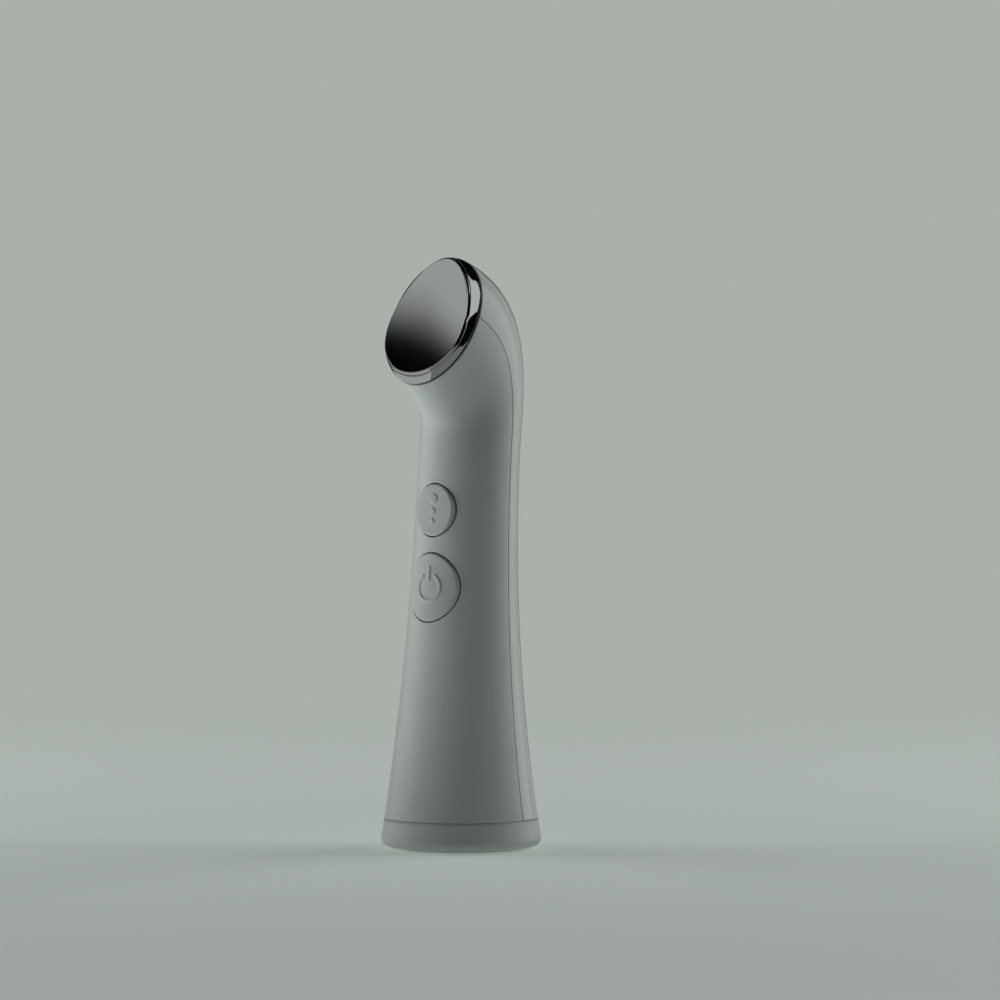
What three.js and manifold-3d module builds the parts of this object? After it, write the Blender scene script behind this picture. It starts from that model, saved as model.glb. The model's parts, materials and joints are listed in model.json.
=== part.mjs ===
// Rechargeable skincare wand. A waisted handle leans back, then bends forward into a head that carries a
// polished contact plate. Sizes are in millimetres, +Z is up, the front (plate and buttons) faces -Y, and
// the origin is the middle of the underside.
import * as THREE from 'three';
import { mergeVertices } from 'three/addons/utils/BufferGeometryUtils.js';
import Module from 'manifold-3d';

const wasm = await Module();
wasm.setup();

// Clearance between pieces that touch, and the plastic walls
const GAP = 0.3;
const WALL = 2.0;
const SHELL_SPLIT_SETBACK = 1.3;      // how far the shells' seam lies behind the centre line

// Foot and base cap
const FOOT_RADIUS = 18.2;
const FOOT_THICKNESS = 1.3;
const FOOT_STANDOUT = 0.5;            // how far the foot stands below the cap
const CAP_CORNER = 2.3;
const CAP_FLOOR = 2.0;
const CAP_SEAM_HEIGHT = 8.3;          // where the cap meets the shells
const CAP_COLLAR_RISE = 3.2;          // the collar inside the shells, above the seam
const CAP_COLLAR_WALL = 1.3;
const CAP_POST_HEIGHT = 5.1;
const CAP_POST_RADIUS = 2.7;
const LUG_HEIGHT = 5.1;               // the frame's lugs over the cap's posts
const TONGUE_DEPTH = 2.0;             // the shells' tongue in the cap's groove
const TONGUE_WALL = 0.9;

// Cell and the frame that carries it
const CELL_DIAMETER = 14;
const CELL_LENGTH = 50;
const CELL_NUB = 0.9;
const CELL_NUB_RADIUS = 2.8;
const CELL_TAB = 0.4;
const CELL_TAB_WIDTH = 4.4;
const CELL_TAB_DEPTH = 6;
const CORE_DEPTH = 15.5;              // the cell's and motor's axis, behind the front wall
const FRAME_WALL = 1.3;
const CELL_STOP = 1.5;                // the frame's stops at the cell's two ends
const CELL_WINDOW = 6;                // opening in each stop for the cell's tab and lead
const SPINE_WIDTH = 16;
const SPINE_THICKNESS = 1.4;

// Buttons, their switches and the main board
const POWER_WIDTH = 17.4;
const POWER_LENGTH = 19.1;
const POWER_FACE_RADIUS = 16.5;
const MODE_WIDTH = 13.3;
const MODE_LENGTH = 14.6;
const MODE_FACE_RADIUS = 40;
const BUTTON_BRIDGE = 4.7;            // wall left between the two buttons
const BUTTON_PROUD = 0.4;
const BUTTON_EDGE = 0.5;
const BUTTON_TRAVEL = 0.8;
const BUTTON_RELIEF = 0.3;            // height of the raised marks
const BUTTON_TAB_WIDTH = 6;
const BUTTON_TAB_REACH = 1.2;
const BUTTON_TAB_THICKNESS = 1.0;
const BUTTON_STEM_RADIUS = 1.6;
const BUTTON_STEM_LENGTH = 0.8;
const POWER_MARK_RADIUS = 3.8;
const POWER_MARK_LINE = 1.0;
const POWER_MARK_GAP = 70;            // degrees left open at the top, for the bar
const POWER_BAR = [1.7, 6.0];         // the bar's two ends, above the middle
const SWITCH_SIZE = 6;
const SWITCH_HEIGHT = 2.6;
const PLUNGER_RADIUS = 1.5;
const PLUNGER_HIDDEN = 0.8;           // the plunger's length inside its switch
const BOARD_THICKNESS = 1.2;
const BOARD_SIDE_ROOM = 1.3;
const BOARD_TAIL = 10.7;              // board below the power button's middle
const BOARD_HEAD = 16.3;              // board above the mode button's middle
const BOARD_PARTS_ROOM = 2.8;
const SCREW_SIDE = 6.8;               // the two lower board screws, from the middle

// Small parts soldered to the back of the main board: width, length, height, and where they sit
const BOARD_PARTS = {
  controller_chip: { size: [7, 7, 1.2], at: [0, 22], finish: 'chip' },
  charge_chip: { size: [5, 4, 1.1], at: [-4.5, 2], finish: 'chip' },
  boost_coil: { size: [5, 5, 2.2], at: [4.5, 2], finish: 'frame' },
  battery_connector: { size: [6, 4, 2.4], at: [0, -6.7], finish: 'white' },
};

// The light on the front of the main board, behind the power button's lower edge
const STATUS_LIGHT = { size: [2, 1.2, 0.8], at: [0, -6], finish: 'white' };

// Vibration motor
const MOTOR_DIAMETER = 7;
const MOTOR_LENGTH = 12;
const MOTOR_LIFT = 2.7;               // motor above the board's upper end
const MOTOR_BOOT_WALL = 1.2;
const SHAFT_RADIUS = 0.5;
const SHAFT_LENGTH = 9;
const SHAFT_HIDDEN = 3;
const WEIGHT_RADIUS = 3.6;
const WEIGHT_LENGTH = 4.5;
const WEIGHT_FLAT = 1.4;               // the half disc's flat, above the shaft's axis

// Handle outline
const NECK_OVER_MODE = 17.2;          // from the mode button's middle up to the neck
const NECK_RADIUS = 14.2;
const NECK_LEAN = 3.7;                // how far the neck lies behind the base
const FOOT_FLARE = 8.7;               // how much wider the handle is at the floor
const FLARE_POWER = 2.15;

// Head outline: the edge of the body at the chrome ring, and the curves that lead up to it
const RING_REACH = 15.5;              // ring's middle in front of the neck's middle
const RING_RISE = 35.3;
const RING_LENGTH = 38.7;
const RING_WIDTH = 31.2;
const RING_TILT = 25;                 // degrees that the ring looks up
const THROAT_PULL_NECK = 5;
const THROAT_PULL_RING = 14;
const THROAT_ANGLE = 40;
const CROWN_PULL_NECK = 11;
const CROWN_PULL_RING = 34;
const CROWN_ANGLE = 17;
const HEAD_WAIST = 0.9;

// Contact plate and what lies behind it
const BAND_END = 1.15;                // how far the plate's rim lies inside the ring's edge, at the two ends
const BAND_SIDE = 1.7;                // and at the two sides
const PLATE_TAPER = 0.2;              // how much narrower the plate is at the top
const PLATE_SHIFT = 0.6;              // plate's middle above the ring's
const PLATE_LIFT = 1.7;               // plate's rim above the ring's edge
const PLATE_EXTRA_TILT = 1;
const PLATE_EDGE = 0.7;                // the rim's depth below its widest line
const PLATE_ROUND = 1.1;              // how far in the rounded rim reaches
const PLATE_CROWN = 0.78;             // height of the face just inside the rim
const PLATE_DOME = 1.38;              // height of the face in the middle
const PLATE_PLUG_INSET = 4.2;
const PLATE_PLUG_DEPTH = 1.5;
const PLATE_POST_RADIUS = 1.9;
const PLATE_POST_SPREAD = 10;
const RING_LEDGE = 2.0;
const COLLAR_DEPTH = 5.0;
const COLLAR_WALL = 2.0;
const LIP_HEIGHT = 1.1;               // the shells' lip in the ring's groove
const LIP_REACH = 1.0;
const LIP_DROP = 2.2;                 // from the ring's edge down to the lip
const GASKET_THICKNESS = 0.5;
const GASKET_SETBACK = 0.4;
const HEATER_RADIUS = 7.4;
const HEATER_THICKNESS = 1.0;
const PAD_RADIUS = 7.6;
const BACKPLATE_THICKNESS = 1.5;
const SENSOR_RADIUS = 0.8;
const SENSOR_LENGTH = 1.0;
const HEAD_LEAD_SIDE = 4.6;           // the heater's and the sensor's leads, from the middle

// Charging socket and its board, in the rear shell
const SOCKET_WIDTH = 8.9;
const SOCKET_HEIGHT = 3.2;
const SOCKET_DEPTH = 7.3;
const SOCKET_WALL = 0.35;
const SOCKET_TONGUE = 0.7;
const SOCKET_BACK = 1.0;
const CHARGE_BOARD_WIDTH = 16;
const CHARGE_BOARD_DEPTH = 10.2;
const CHARGE_BOARD_LIFT = 2.9;        // above the cap's collar
const RAIL_WIDTH = 2.0;

// Fasteners and leads
const SCREW_HEAD_RADIUS = 2.0;
const SCREW_HEAD_HEIGHT = 1.2;
const SCREW_SHANK_RADIUS = 0.85;
const SCREW_CROSS_LENGTH = 2.4;
const SCREW_CROSS_WIDTH = 0.6;
const BOSS_RADIUS = 2.3;
const BASE_SCREW_GRIP = 4.2;          // how far a base screw reaches into the frame
const LEAD_RADIUS = 0.6;
const LEAD_RISE = 4;                  // how far a lead runs straight beside a board before it turns

// The shells' clips and the ribs behind the cell and the motor
const CLIP_COUNT = 3;
const CLIP_THICKNESS = 1.1;
const CLIP_WIDTH = 6;
const CLIP_REACH = 4;
const CLIP_WINDOW = 1.8;
const RIB_THICKNESS = 1.6;
const RIB_WIDTH = 12;
const RIB_WRAP = 2.2;                 // how far a rib reaches round what it holds

// Facets
const BODY_SIDES = 28;
const HANDLE_STEPS = 7;
const HEAD_STEPS = 9;
const ROUND_SIDES = 18;
const OVAL_SIDES = 24;
const SMALL_SIDES = 12;

// Heights worked out from what the handle holds, from the floor up
const FAR = 120;
const footRecessTop = FOOT_THICKNESS + GAP;
const floorTop = footRecessTop + CAP_FLOOR;
const collarTop = CAP_SEAM_HEIGHT + CAP_COLLAR_RISE;
const lugBottom = floorTop + CAP_POST_HEIGHT + GAP;
const cellTop = -(BOARD_TAIL + CELL_STOP + 2 * GAP);          // along the board, from the power button
const cellBottom = cellTop - CELL_LENGTH;
const powerHeight = lugBottom - cellBottom + CELL_STOP;
const buttonPitch = POWER_LENGTH / 2 + BUTTON_BRIDGE + MODE_LENGTH / 2;
const modeHeight = powerHeight + buttonPitch;
const neckHeight = modeHeight + NECK_OVER_MODE;

const plateLength = RING_LENGTH - 2 * BAND_END;
const plateWidth = RING_WIDTH - 2 * BAND_SIDE;

// Radius and centre line of the handle at a height
function radiusAt(z) {
  return NECK_RADIUS + FOOT_FLARE * (1 - z / neckHeight) ** FLARE_POWER;
}

function leanAt(z) {
  const share = Math.max(0, z - CAP_SEAM_HEIGHT) / (neckHeight - CAP_SEAM_HEIGHT);
  return NECK_LEAN * share ** 2;
}

function frontAt(z) {
  return leanAt(z) - radiusAt(z);
}

// Side view of the head, as two curves in (y, z): the throat in front and the crown behind
function heading(degrees) {
  const angle = THREE.MathUtils.degToRad(degrees);
  return new THREE.Vector2(Math.cos(angle), -Math.sin(angle));
}

function along(start, direction, length) {
  return start.clone().addScaledVector(direction, length);
}

const neckDirection = new THREE.Vector2(2 * NECK_LEAN / (neckHeight - CAP_SEAM_HEIGHT), 1).normalize();
const neckFront = new THREE.Vector2(NECK_LEAN - NECK_RADIUS, neckHeight);
const neckBack = new THREE.Vector2(NECK_LEAN + NECK_RADIUS, neckHeight);
const ringMiddle = new THREE.Vector2(NECK_LEAN - RING_REACH, neckHeight + RING_RISE);
const ringUp = heading(RING_TILT - 90);
const ringFront = along(ringMiddle, ringUp, -RING_LENGTH / 2);
const ringBack = along(ringMiddle, ringUp, RING_LENGTH / 2);
const throat = new THREE.CubicBezierCurve(
  neckFront,
  along(neckFront, neckDirection, THROAT_PULL_NECK),
  along(ringFront, heading(THROAT_ANGLE), THROAT_PULL_RING),
  ringFront,
);
const crown = new THREE.CubicBezierCurve(
  neckBack,
  along(neckBack, neckDirection, CROWN_PULL_NECK),
  along(ringBack, heading(CROWN_ANGLE), CROWN_PULL_RING),
  ringBack,
);

// A point of a head curve moved inwards, square to the curve
function insetPoint(curve, t, inset) {
  const side = curve === throat ? 1 : -1;
  const tangent = curve.getTangent(t);
  return along(curve.getPoint(t), new THREE.Vector2(side * tangent.y, -side * tangent.x), inset);
}

function headHalfWidth(t) {
  const blend = THREE.MathUtils.smoothstep(t, 0, 1);
  const straight = THREE.MathUtils.lerp(NECK_RADIUS, RING_WIDTH / 2, blend);
  return straight - HEAD_WAIST * Math.sin(Math.PI * t) ** 2;
}

// Frames: each turns local x, y, z into width, up along the surface, and out of it
function frame(y, z, lookUp) {
  const turn = new THREE.Matrix4().makeRotationX(Math.PI / 2 - lookUp);
  return new THREE.Matrix4().makeTranslation(0, y, z).multiply(turn);
}

const wallTilt = Math.atan2(frontAt(modeHeight) - frontAt(powerHeight), buttonPitch);
const CONTROLS = frame(frontAt(powerHeight), powerHeight, wallTilt);
const HEAD = frame(ringMiddle.x, ringMiddle.y, THREE.MathUtils.degToRad(RING_TILT));
const PLATE = HEAD.clone()
  .multiply(new THREE.Matrix4().makeTranslation(0, PLATE_SHIFT, PLATE_LIFT))
  .multiply(new THREE.Matrix4().makeRotationX(-THREE.MathUtils.degToRad(PLATE_EXTRA_TILT)));

function pointIn(place, x, y, z) {
  return new THREE.Vector3(x, y, z).applyMatrix4(place);
}

// Solids: a closed geometry becomes one that can be joined and cut, and comes back as a geometry
function solid(geometry) {
  const bare = new THREE.BufferGeometry();
  const loose = geometry.index ? geometry.toNonIndexed() : geometry;
  bare.setAttribute('position', loose.getAttribute('position'));
  const merged = mergeVertices(bare, 1e-4);
  const corners = merged.index.array;
  const kept = [];
  for (let i = 0; i < corners.length; i += 3) {
    const [a, b, c] = [corners[i], corners[i + 1], corners[i + 2]];
    if (a !== b && b !== c && c !== a) kept.push(a, b, c);
  }
  return new wasm.Manifold(new wasm.Mesh({
    numProp: 3,
    vertProperties: merged.getAttribute('position').array,
    triVerts: new Uint32Array(kept),
  }));
}

function unite(...solids) {
  return solids.reduce((sum, next) => sum.add(next));
}

function cut(body, ...tools) {
  return tools.reduce((rest, tool) => rest.subtract(tool), body);
}

function geometryOf(body) {
  const mesh = body.getMesh();
  const geometry = new THREE.BufferGeometry();
  geometry.setAttribute('position', new THREE.BufferAttribute(mesh.vertProperties, 3));
  geometry.setIndex(new THREE.BufferAttribute(mesh.triVerts, 1));
  geometry.computeVertexNormals();
  return geometry;
}

// A closed skin over rings of points, each ring anticlockwise seen from the end that the skin grows to
function skin(rings) {
  const sides = rings[0].length;
  const points = [...rings.flat(), middleOf(rings[0]), middleOf(rings[rings.length - 1])];
  const [first, last] = [points.length - 2, points.length - 1];
  const faces = [];
  for (let i = 0; i < sides; i++) {
    const next = (i + 1) % sides;
    faces.push(first, next, i);
    for (let ring = 0; ring < rings.length - 1; ring++) {
      const [low, high] = [ring * sides, (ring + 1) * sides];
      faces.push(low + i, low + next, high + next, low + i, high + next, high + i);
    }
    faces.push(last, (rings.length - 1) * sides + i, (rings.length - 1) * sides + next);
  }
  return new THREE.BufferGeometry().setFromPoints(points).setIndex(faces);
}

function middleOf(ring) {
  return ring.reduce((sum, point) => sum.add(point), new THREE.Vector3()).divideScalar(ring.length);
}

// Simple shapes, with z as their axis
function inOrder(a, b) {
  return [Math.min(a, b), Math.max(a, b)];
}

function block(x, y, z) {
  const box = new THREE.BoxGeometry(x[1] - x[0], y[1] - y[0], z[1] - z[0]);
  return box.translate((x[0] + x[1]) / 2, (y[0] + y[1]) / 2, (z[0] + z[1]) / 2);
}

function rod(radius, bottom, top, sides = SMALL_SIDES, x = 0, y = 0) {
  const cylinder = new THREE.CylinderGeometry(radius, radius, top - bottom, sides);
  return cylinder.rotateX(Math.PI / 2).translate(x, y, (bottom + top) / 2);
}

function turned(profile, sides) {
  const points = profile.map(([radius, height]) => new THREE.Vector2(radius, height));
  return new THREE.LatheGeometry(points, sides).rotateX(Math.PI / 2);
}

function prism(outline, bottom, top, holes = []) {
  const shape = new THREE.Shape(outline);
  shape.holes = holes.map((points) => new THREE.Path(points));
  const options = { depth: top - bottom, bevelEnabled: false };
  return new THREE.ExtrudeGeometry(shape, options).translate(0, 0, bottom);
}

function circle(radius, x = 0, y = 0, sides = SMALL_SIDES) {
  return new THREE.EllipseCurve(x, y, radius, radius).getPoints(sides).slice(0, sides);
}

function slab(place, bottom, top) {
  return solid(block([-FAR, FAR], [-FAR, FAR], [bottom, top]).applyMatrix4(place));
}

// The body: oval sections between a front and a back point of the side view
function section(front, back, halfWidth) {
  const ring = [];
  for (let i = 0; i < BODY_SIDES; i++) {
    const angle = 2 * Math.PI * i / BODY_SIDES;
    const middle = front.clone().lerp(back, (1 - Math.cos(angle)) / 2);
    ring.push(new THREE.Vector3(halfWidth * Math.sin(angle), middle.x, middle.y));
  }
  return ring;
}

function bodySolid(inset, bottom = CAP_SEAM_HEIGHT - CAP_CORNER) {
  const rings = [];
  for (let step = 0; step < HANDLE_STEPS; step++) {
    const z = THREE.MathUtils.lerp(bottom, neckHeight, step / HANDLE_STEPS);
    const radius = radiusAt(z) - inset;
    const [front, back] = [-radius, radius].map((y) => new THREE.Vector2(leanAt(z) + y, z));
    rings.push(section(front, back, radius));
  }
  for (let step = 0; step <= HEAD_STEPS; step++) {
    const t = step / HEAD_STEPS;
    const [front, back] = [throat, crown].map((curve) => insetPoint(curve, t, inset));
    rings.push(section(front, back, headHalfWidth(t) - inset));
  }
  const outwards = new THREE.Vector3().setFromMatrixColumn(HEAD, 2);
  rings.push(rings[rings.length - 1].map((point) => point.clone().add(outwards)));
  return solid(skin(rings));
}

// The wall layer between two insets
function layer(outer, inner) {
  return cut(bodySolid(outer), bodySolid(inner, 0));
}

// The seam between the shells, as points in (y, z) behind the centre line
function seamPoints(setback) {
  const points = [new THREE.Vector2(setback, -FAR)];
  for (let step = 0; step < HANDLE_STEPS; step++) {
    const z = THREE.MathUtils.lerp(CAP_SEAM_HEIGHT, neckHeight, step / HANDLE_STEPS);
    points.push(new THREE.Vector2(leanAt(z) + setback, z));
  }
  for (let step = 0; step <= HEAD_STEPS; step++) {
    const t = step / HEAD_STEPS;
    const middle = throat.getPoint(t).lerp(crown.getPoint(t), 0.5);
    const tangent = throat.getTangent(t).add(crown.getTangent(t)).normalize();
    points.push(along(middle, new THREE.Vector2(tangent.y, -tangent.x), setback));
  }
  points.push(along(points[points.length - 1], heading(RING_TILT + 180), GAP + PLATE_LIFT));
  points.push(along(points[points.length - 1], heading(RING_TILT + 180), FAR));
  return points;
}

// Everything on one side of the seam: x of the outline is y of the wand, and y of it is z
function sideOfSeam(outline) {
  const wide = prism(outline, -FAR, FAR);
  const turn = new THREE.Matrix4().set(0, 0, 1, 0, 1, 0, 0, 0, 0, 1, 0, 0, 0, 0, 0, 1);
  return solid(wide.applyMatrix4(turn));
}

const frontSeam = seamPoints(SHELL_SPLIT_SETBACK - GAP / 2);
const rearSeam = seamPoints(SHELL_SPLIT_SETBACK + GAP / 2);
const beforeSeam = sideOfSeam([
  ...frontSeam,
  new THREE.Vector2(-3 * FAR, frontSeam[frontSeam.length - 1].y),
  new THREE.Vector2(-3 * FAR, -FAR),
]);
const behindSeam = sideOfSeam([
  ...rearSeam,
  new THREE.Vector2(rearSeam[rearSeam.length - 1].x, 3 * FAR),
  new THREE.Vector2(FAR, 3 * FAR),
  new THREE.Vector2(FAR, -FAR),
]);

// What both shells share: the wall, the tongue at the foot and the lip in the head
const gasketTop = -GAP;
const gasketBottom = gasketTop - GASKET_THICKNESS;
const shellTop = gasketBottom - GAP;
const shellBottom = CAP_SEAM_HEIGHT + GAP;
const tongueInner = radiusAt(CAP_SEAM_HEIGHT) - WALL;
const tongueOuter = tongueInner + TONGUE_WALL;
const withinWall = bodySolid(WALL / 2, 0);

function shellTube() {
  const wall = cut(bodySolid(0, shellBottom), bodySolid(WALL, 0));
  const tongue = cut(
    solid(rod(tongueOuter, CAP_SEAM_HEIGHT - TONGUE_DEPTH, shellBottom + WALL / 2, BODY_SIDES)),
    solid(rod(tongueInner, 0, collarTop, BODY_SIDES)),
  );
  const lip = layer(WALL / 2, WALL + LIP_REACH).intersect(slab(HEAD, -LIP_DROP - LIP_HEIGHT, -LIP_DROP));
  return cut(unite(wall, tongue, lip), slab(HEAD, shellTop, FAR));
}

// Depths behind the front wall: the buttons, their switches, the main board and the frame's spine
function sagitta(radius, x) {
  return radius - Math.sqrt(radius ** 2 - x ** 2);
}

const tabTop = -(WALL + sagitta(NECK_RADIUS - WALL, BUTTON_TAB_WIDTH / 2) + GAP);
const tabBottom = tabTop - BUTTON_TAB_THICKNESS;
const stemBottom = tabBottom - BUTTON_STEM_LENGTH;
const plungerTop = stemBottom - GAP;
const switchTop = plungerTop - BUTTON_TRAVEL;
const switchBottom = switchTop - SWITCH_HEIGHT;
const boardFront = switchBottom - GAP;
const boardBack = boardFront - BOARD_THICKNESS;
const spineFront = boardBack - GAP - BOARD_PARTS_ROOM;
const spineBack = spineFront - SPINE_THICKNESS;
const boardTop = buttonPitch + BOARD_HEAD;
const neckChord = Math.sqrt((NECK_RADIUS - WALL) ** 2 - (NECK_RADIUS + boardFront) ** 2);
const boardHalf = neckChord - BOARD_SIDE_ROOM;

// Where the board's three screws stand, on the board's face
const sideScrewLevel = POWER_LENGTH / 2 + BUTTON_BRIDGE / 2;
const topScrewLevel = (buttonPitch + MODE_LENGTH / 2 + BUTTON_TAB_REACH + boardTop) / 2;
const BOARD_SCREWS = {
  left: [-SCREW_SIDE, sideScrewLevel],
  right: [SCREW_SIDE, sideScrewLevel],
  top: [0, topScrewLevel],
};
const screwSpots = Object.values(BOARD_SCREWS);
const screwTip = boardFront + 4 * GAP + WALL;
const holeRadius = SCREW_SHANK_RADIUS + GAP;

// The cell's and the motor's places along their shared axis
const cellRadius = CELL_DIAMETER / 2;
const troughOuter = cellRadius + GAP + FRAME_WALL;
const motorRadius = MOTOR_DIAMETER / 2;
const bootInner = motorRadius + GAP;
const bootOuter = bootInner + MOTOR_BOOT_WALL;
const cradleInner = bootOuter + GAP;
const cradleOuter = cradleInner + FRAME_WALL;
const motorBottom = boardTop + MOTOR_LIFT;
const motorTop = motorBottom + MOTOR_LENGTH;

function inControls(geometry) {
  return solid(geometry.applyMatrix4(CONTROLS));
}

function onCore(geometry) {
  return geometry.rotateX(-Math.PI / 2).translate(0, 0, -CORE_DEPTH);
}

function coreRod(radius, bottom, top, sides = ROUND_SIDES) {
  return inControls(onCore(rod(radius, bottom, top, sides)));
}

// Base screws stand beside the frame's trough, below its lugs
const baseScrewSide = troughOuter + 2 * GAP + CAP_POST_RADIUS;
const baseScrewDepth = pointIn(CONTROLS, 0, cellBottom, -CORE_DEPTH).y - FRAME_WALL;
const baseScrewHead = footRecessTop + GAP;
const baseScrewTip = lugBottom + BASE_SCREW_GRIP;
const baseScrewSpots = [-baseScrewSide, baseScrewSide].map((x) => [x, baseScrewDepth]);

// Base cap and foot
function baseCap() {
  const cornerTop = FOOT_STANDOUT + CAP_CORNER;
  const cornerMiddle = radiusAt(cornerTop) - CAP_CORNER;
  const corner = new THREE.EllipseCurve(cornerMiddle, cornerTop, CAP_CORNER, CAP_CORNER, -Math.PI / 2, 0);
  const outside = [0.5, 1].map((share) => THREE.MathUtils.lerp(cornerTop, CAP_SEAM_HEIGHT, share));
  const grooveFloor = CAP_SEAM_HEIGHT - TONGUE_DEPTH - GAP;
  const collarFoot = tongueInner - GAP;
  const collarHead = radiusAt(collarTop) - WALL - GAP;
  const recess = FOOT_RADIUS + GAP;
  const cup = turned([
    [0, footRecessTop],
    [recess, footRecessTop],
    [recess, FOOT_STANDOUT],
    ...corner.getPoints(5).map((point) => [point.x, point.y]),
    ...outside.map((z) => [radiusAt(z), z]),
    [tongueOuter + GAP, CAP_SEAM_HEIGHT],
    [tongueOuter + GAP, grooveFloor],
    [collarFoot, grooveFloor],
    [collarFoot, CAP_SEAM_HEIGHT],
    [collarHead, collarTop],
    [collarHead - CAP_COLLAR_WALL, collarTop],
    [collarHead - CAP_COLLAR_WALL, floorTop],
    [0, floorTop],
  ], BODY_SIDES);
  const postTop = floorTop + CAP_POST_HEIGHT;
  const headRoom = baseScrewHead + SCREW_HEAD_HEIGHT + GAP;
  const posts = baseScrewSpots.map(([x, y]) => {
    return solid(rod(CAP_POST_RADIUS, footRecessTop + GAP, postTop, ROUND_SIDES, x, y));
  });
  const holes = baseScrewSpots.flatMap(([x, y]) => [
    solid(rod(holeRadius, 0, postTop + GAP, SMALL_SIDES, x, y)),
    solid(rod(SCREW_HEAD_RADIUS + GAP, 0, headRoom, SMALL_SIDES, x, y)),
  ]);
  return cut(unite(solid(cup), ...posts), ...holes);
}

function footPad() {
  const softened = FOOT_STANDOUT / 2;
  return turned([
    [0, 0],
    [FOOT_RADIUS - softened, 0],
    [FOOT_RADIUS, softened],
    [FOOT_RADIUS, FOOT_THICKNESS],
    [0, FOOT_THICKNESS],
  ], BODY_SIDES);
}

// Button caps: an oval plug with a crowned face, raised marks, two tabs behind the wall and a stem
function ovalRing(width, length, inset, heightOf) {
  const points = new THREE.EllipseCurve(0, 0, width / 2 - inset, length / 2 - inset).getPoints(OVAL_SIDES);
  return points.slice(0, OVAL_SIDES).map(({ x, y }) => new THREE.Vector3(x, y, heightOf(x, y)));
}

function buttonPlug(width, length, faceRadius, rise) {
  const face = (x) => BUTTON_PROUD + rise - x ** 2 / (2 * faceRadius);
  const flat = () => tabBottom;
  const small = width / 6;
  return solid(skin([
    ovalRing(width, length, 0, flat),
    ovalRing(width, length, 0, (x) => face(x) - BUTTON_EDGE),
    ovalRing(width, length, BUTTON_EDGE / 3, (x) => face(x) - BUTTON_EDGE / 4),
    ovalRing(width, length, BUTTON_EDGE, face),
    ovalRing(width, length, small, face),
  ]));
}

function buttonCap(width, length, faceRadius, marks) {
  const raised = buttonPlug(width, length, faceRadius, BUTTON_RELIEF).intersect(unite(...marks));
  const half = BUTTON_TAB_WIDTH / 2;
  const tabs = [-1, 1].map((side) => {
    const ends = inOrder(side * (length / 2 - WALL), side * (length / 2 + BUTTON_TAB_REACH));
    return solid(block([-half, half], ends, [tabBottom, tabTop]));
  });
  const stem = solid(rod(BUTTON_STEM_RADIUS, stemBottom, tabTop));
  return unite(buttonPlug(width, length, faceRadius, 0), raised, stem, ...tabs);
}

function powerMarks() {
  const [inner, outer] = [POWER_MARK_RADIUS - POWER_MARK_LINE / 2, POWER_MARK_RADIUS + POWER_MARK_LINE / 2];
  const [start, end] = [90 + POWER_MARK_GAP / 2, 450 - POWER_MARK_GAP / 2].map(THREE.MathUtils.degToRad);
  const arc = new THREE.Shape()
    .absarc(0, 0, outer, start, end)
    .absarc(0, 0, inner, end, start, true);
  const options = { depth: FAR, bevelEnabled: false, curveSegments: ROUND_SIDES };
  const ring = new THREE.ExtrudeGeometry(arc, options);
  const half = POWER_MARK_LINE / 2;
  const bar = block([-half, half], POWER_BAR, [-WALL, FAR]);
  return [solid(ring.translate(0, 0, -WALL)), solid(bar)];
}

// The mode button's three dots, small to large going up
const MODE_DOTS = [
  { radius: 0.75, level: -3.1 },
  { radius: 1.0, level: -0.3 },
  { radius: 1.4, level: 3.2 },
];

function modeMarks() {
  return MODE_DOTS.map(({ radius, level }) => solid(rod(radius, -WALL, FAR, SMALL_SIDES, 0, level)));
}

// Front shell: openings for the buttons, bosses for the board's screws, catches for the clips
const clipLevels = Array.from({ length: CLIP_COUNT }, (_, i) => {
  return THREE.MathUtils.lerp(collarTop + NECK_RADIUS, neckHeight - NECK_RADIUS, i / (CLIP_COUNT - 1));
});

function seamBox(z, reach, rise) {
  const seam = leanAt(z) + SHELL_SPLIT_SETBACK;
  return solid(block([-FAR, FAR], [seam + reach[0], seam + reach[1]], [z - rise, z + rise]));
}

function frontShell() {
  const openings = [[POWER_WIDTH, POWER_LENGTH, 0], [MODE_WIDTH, MODE_LENGTH, buttonPitch]]
    .map(([width, length, level]) => {
      const oval = new THREE.EllipseCurve(0, level, width / 2 + GAP, length / 2 + GAP);
      const outline = oval.getPoints(OVAL_SIDES).slice(0, OVAL_SIDES);
      return inControls(prism(outline, boardFront + GAP, NECK_RADIUS));
    });
  const bosses = screwSpots.map(([x, y]) => {
    return inControls(rod(BOSS_RADIUS, boardFront + GAP, 0, ROUND_SIDES, x, y)).intersect(withinWall);
  });
  const holes = screwSpots.map(([x, y]) => {
    return inControls(rod(holeRadius, boardFront - GAP, screwTip + GAP, SMALL_SIDES, x, y));
  });
  const catchLayer = layer(WALL / 2, WALL + GAP + CLIP_THICKNESS / 2);
  const catches = clipLevels.map((z) => {
    const reach = [-CLIP_REACH + CLIP_THICKNESS + GAP, -CLIP_REACH + CLIP_THICKNESS + CLIP_WINDOW - GAP];
    return catchLayer.intersect(seamBox(z, reach, CLIP_WIDTH / 4 - GAP));
  });
  const tube = shellTube().intersect(beforeSeam);
  return cut(unite(tube, ...bosses, ...catches), ...openings, ...holes);
}

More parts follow.
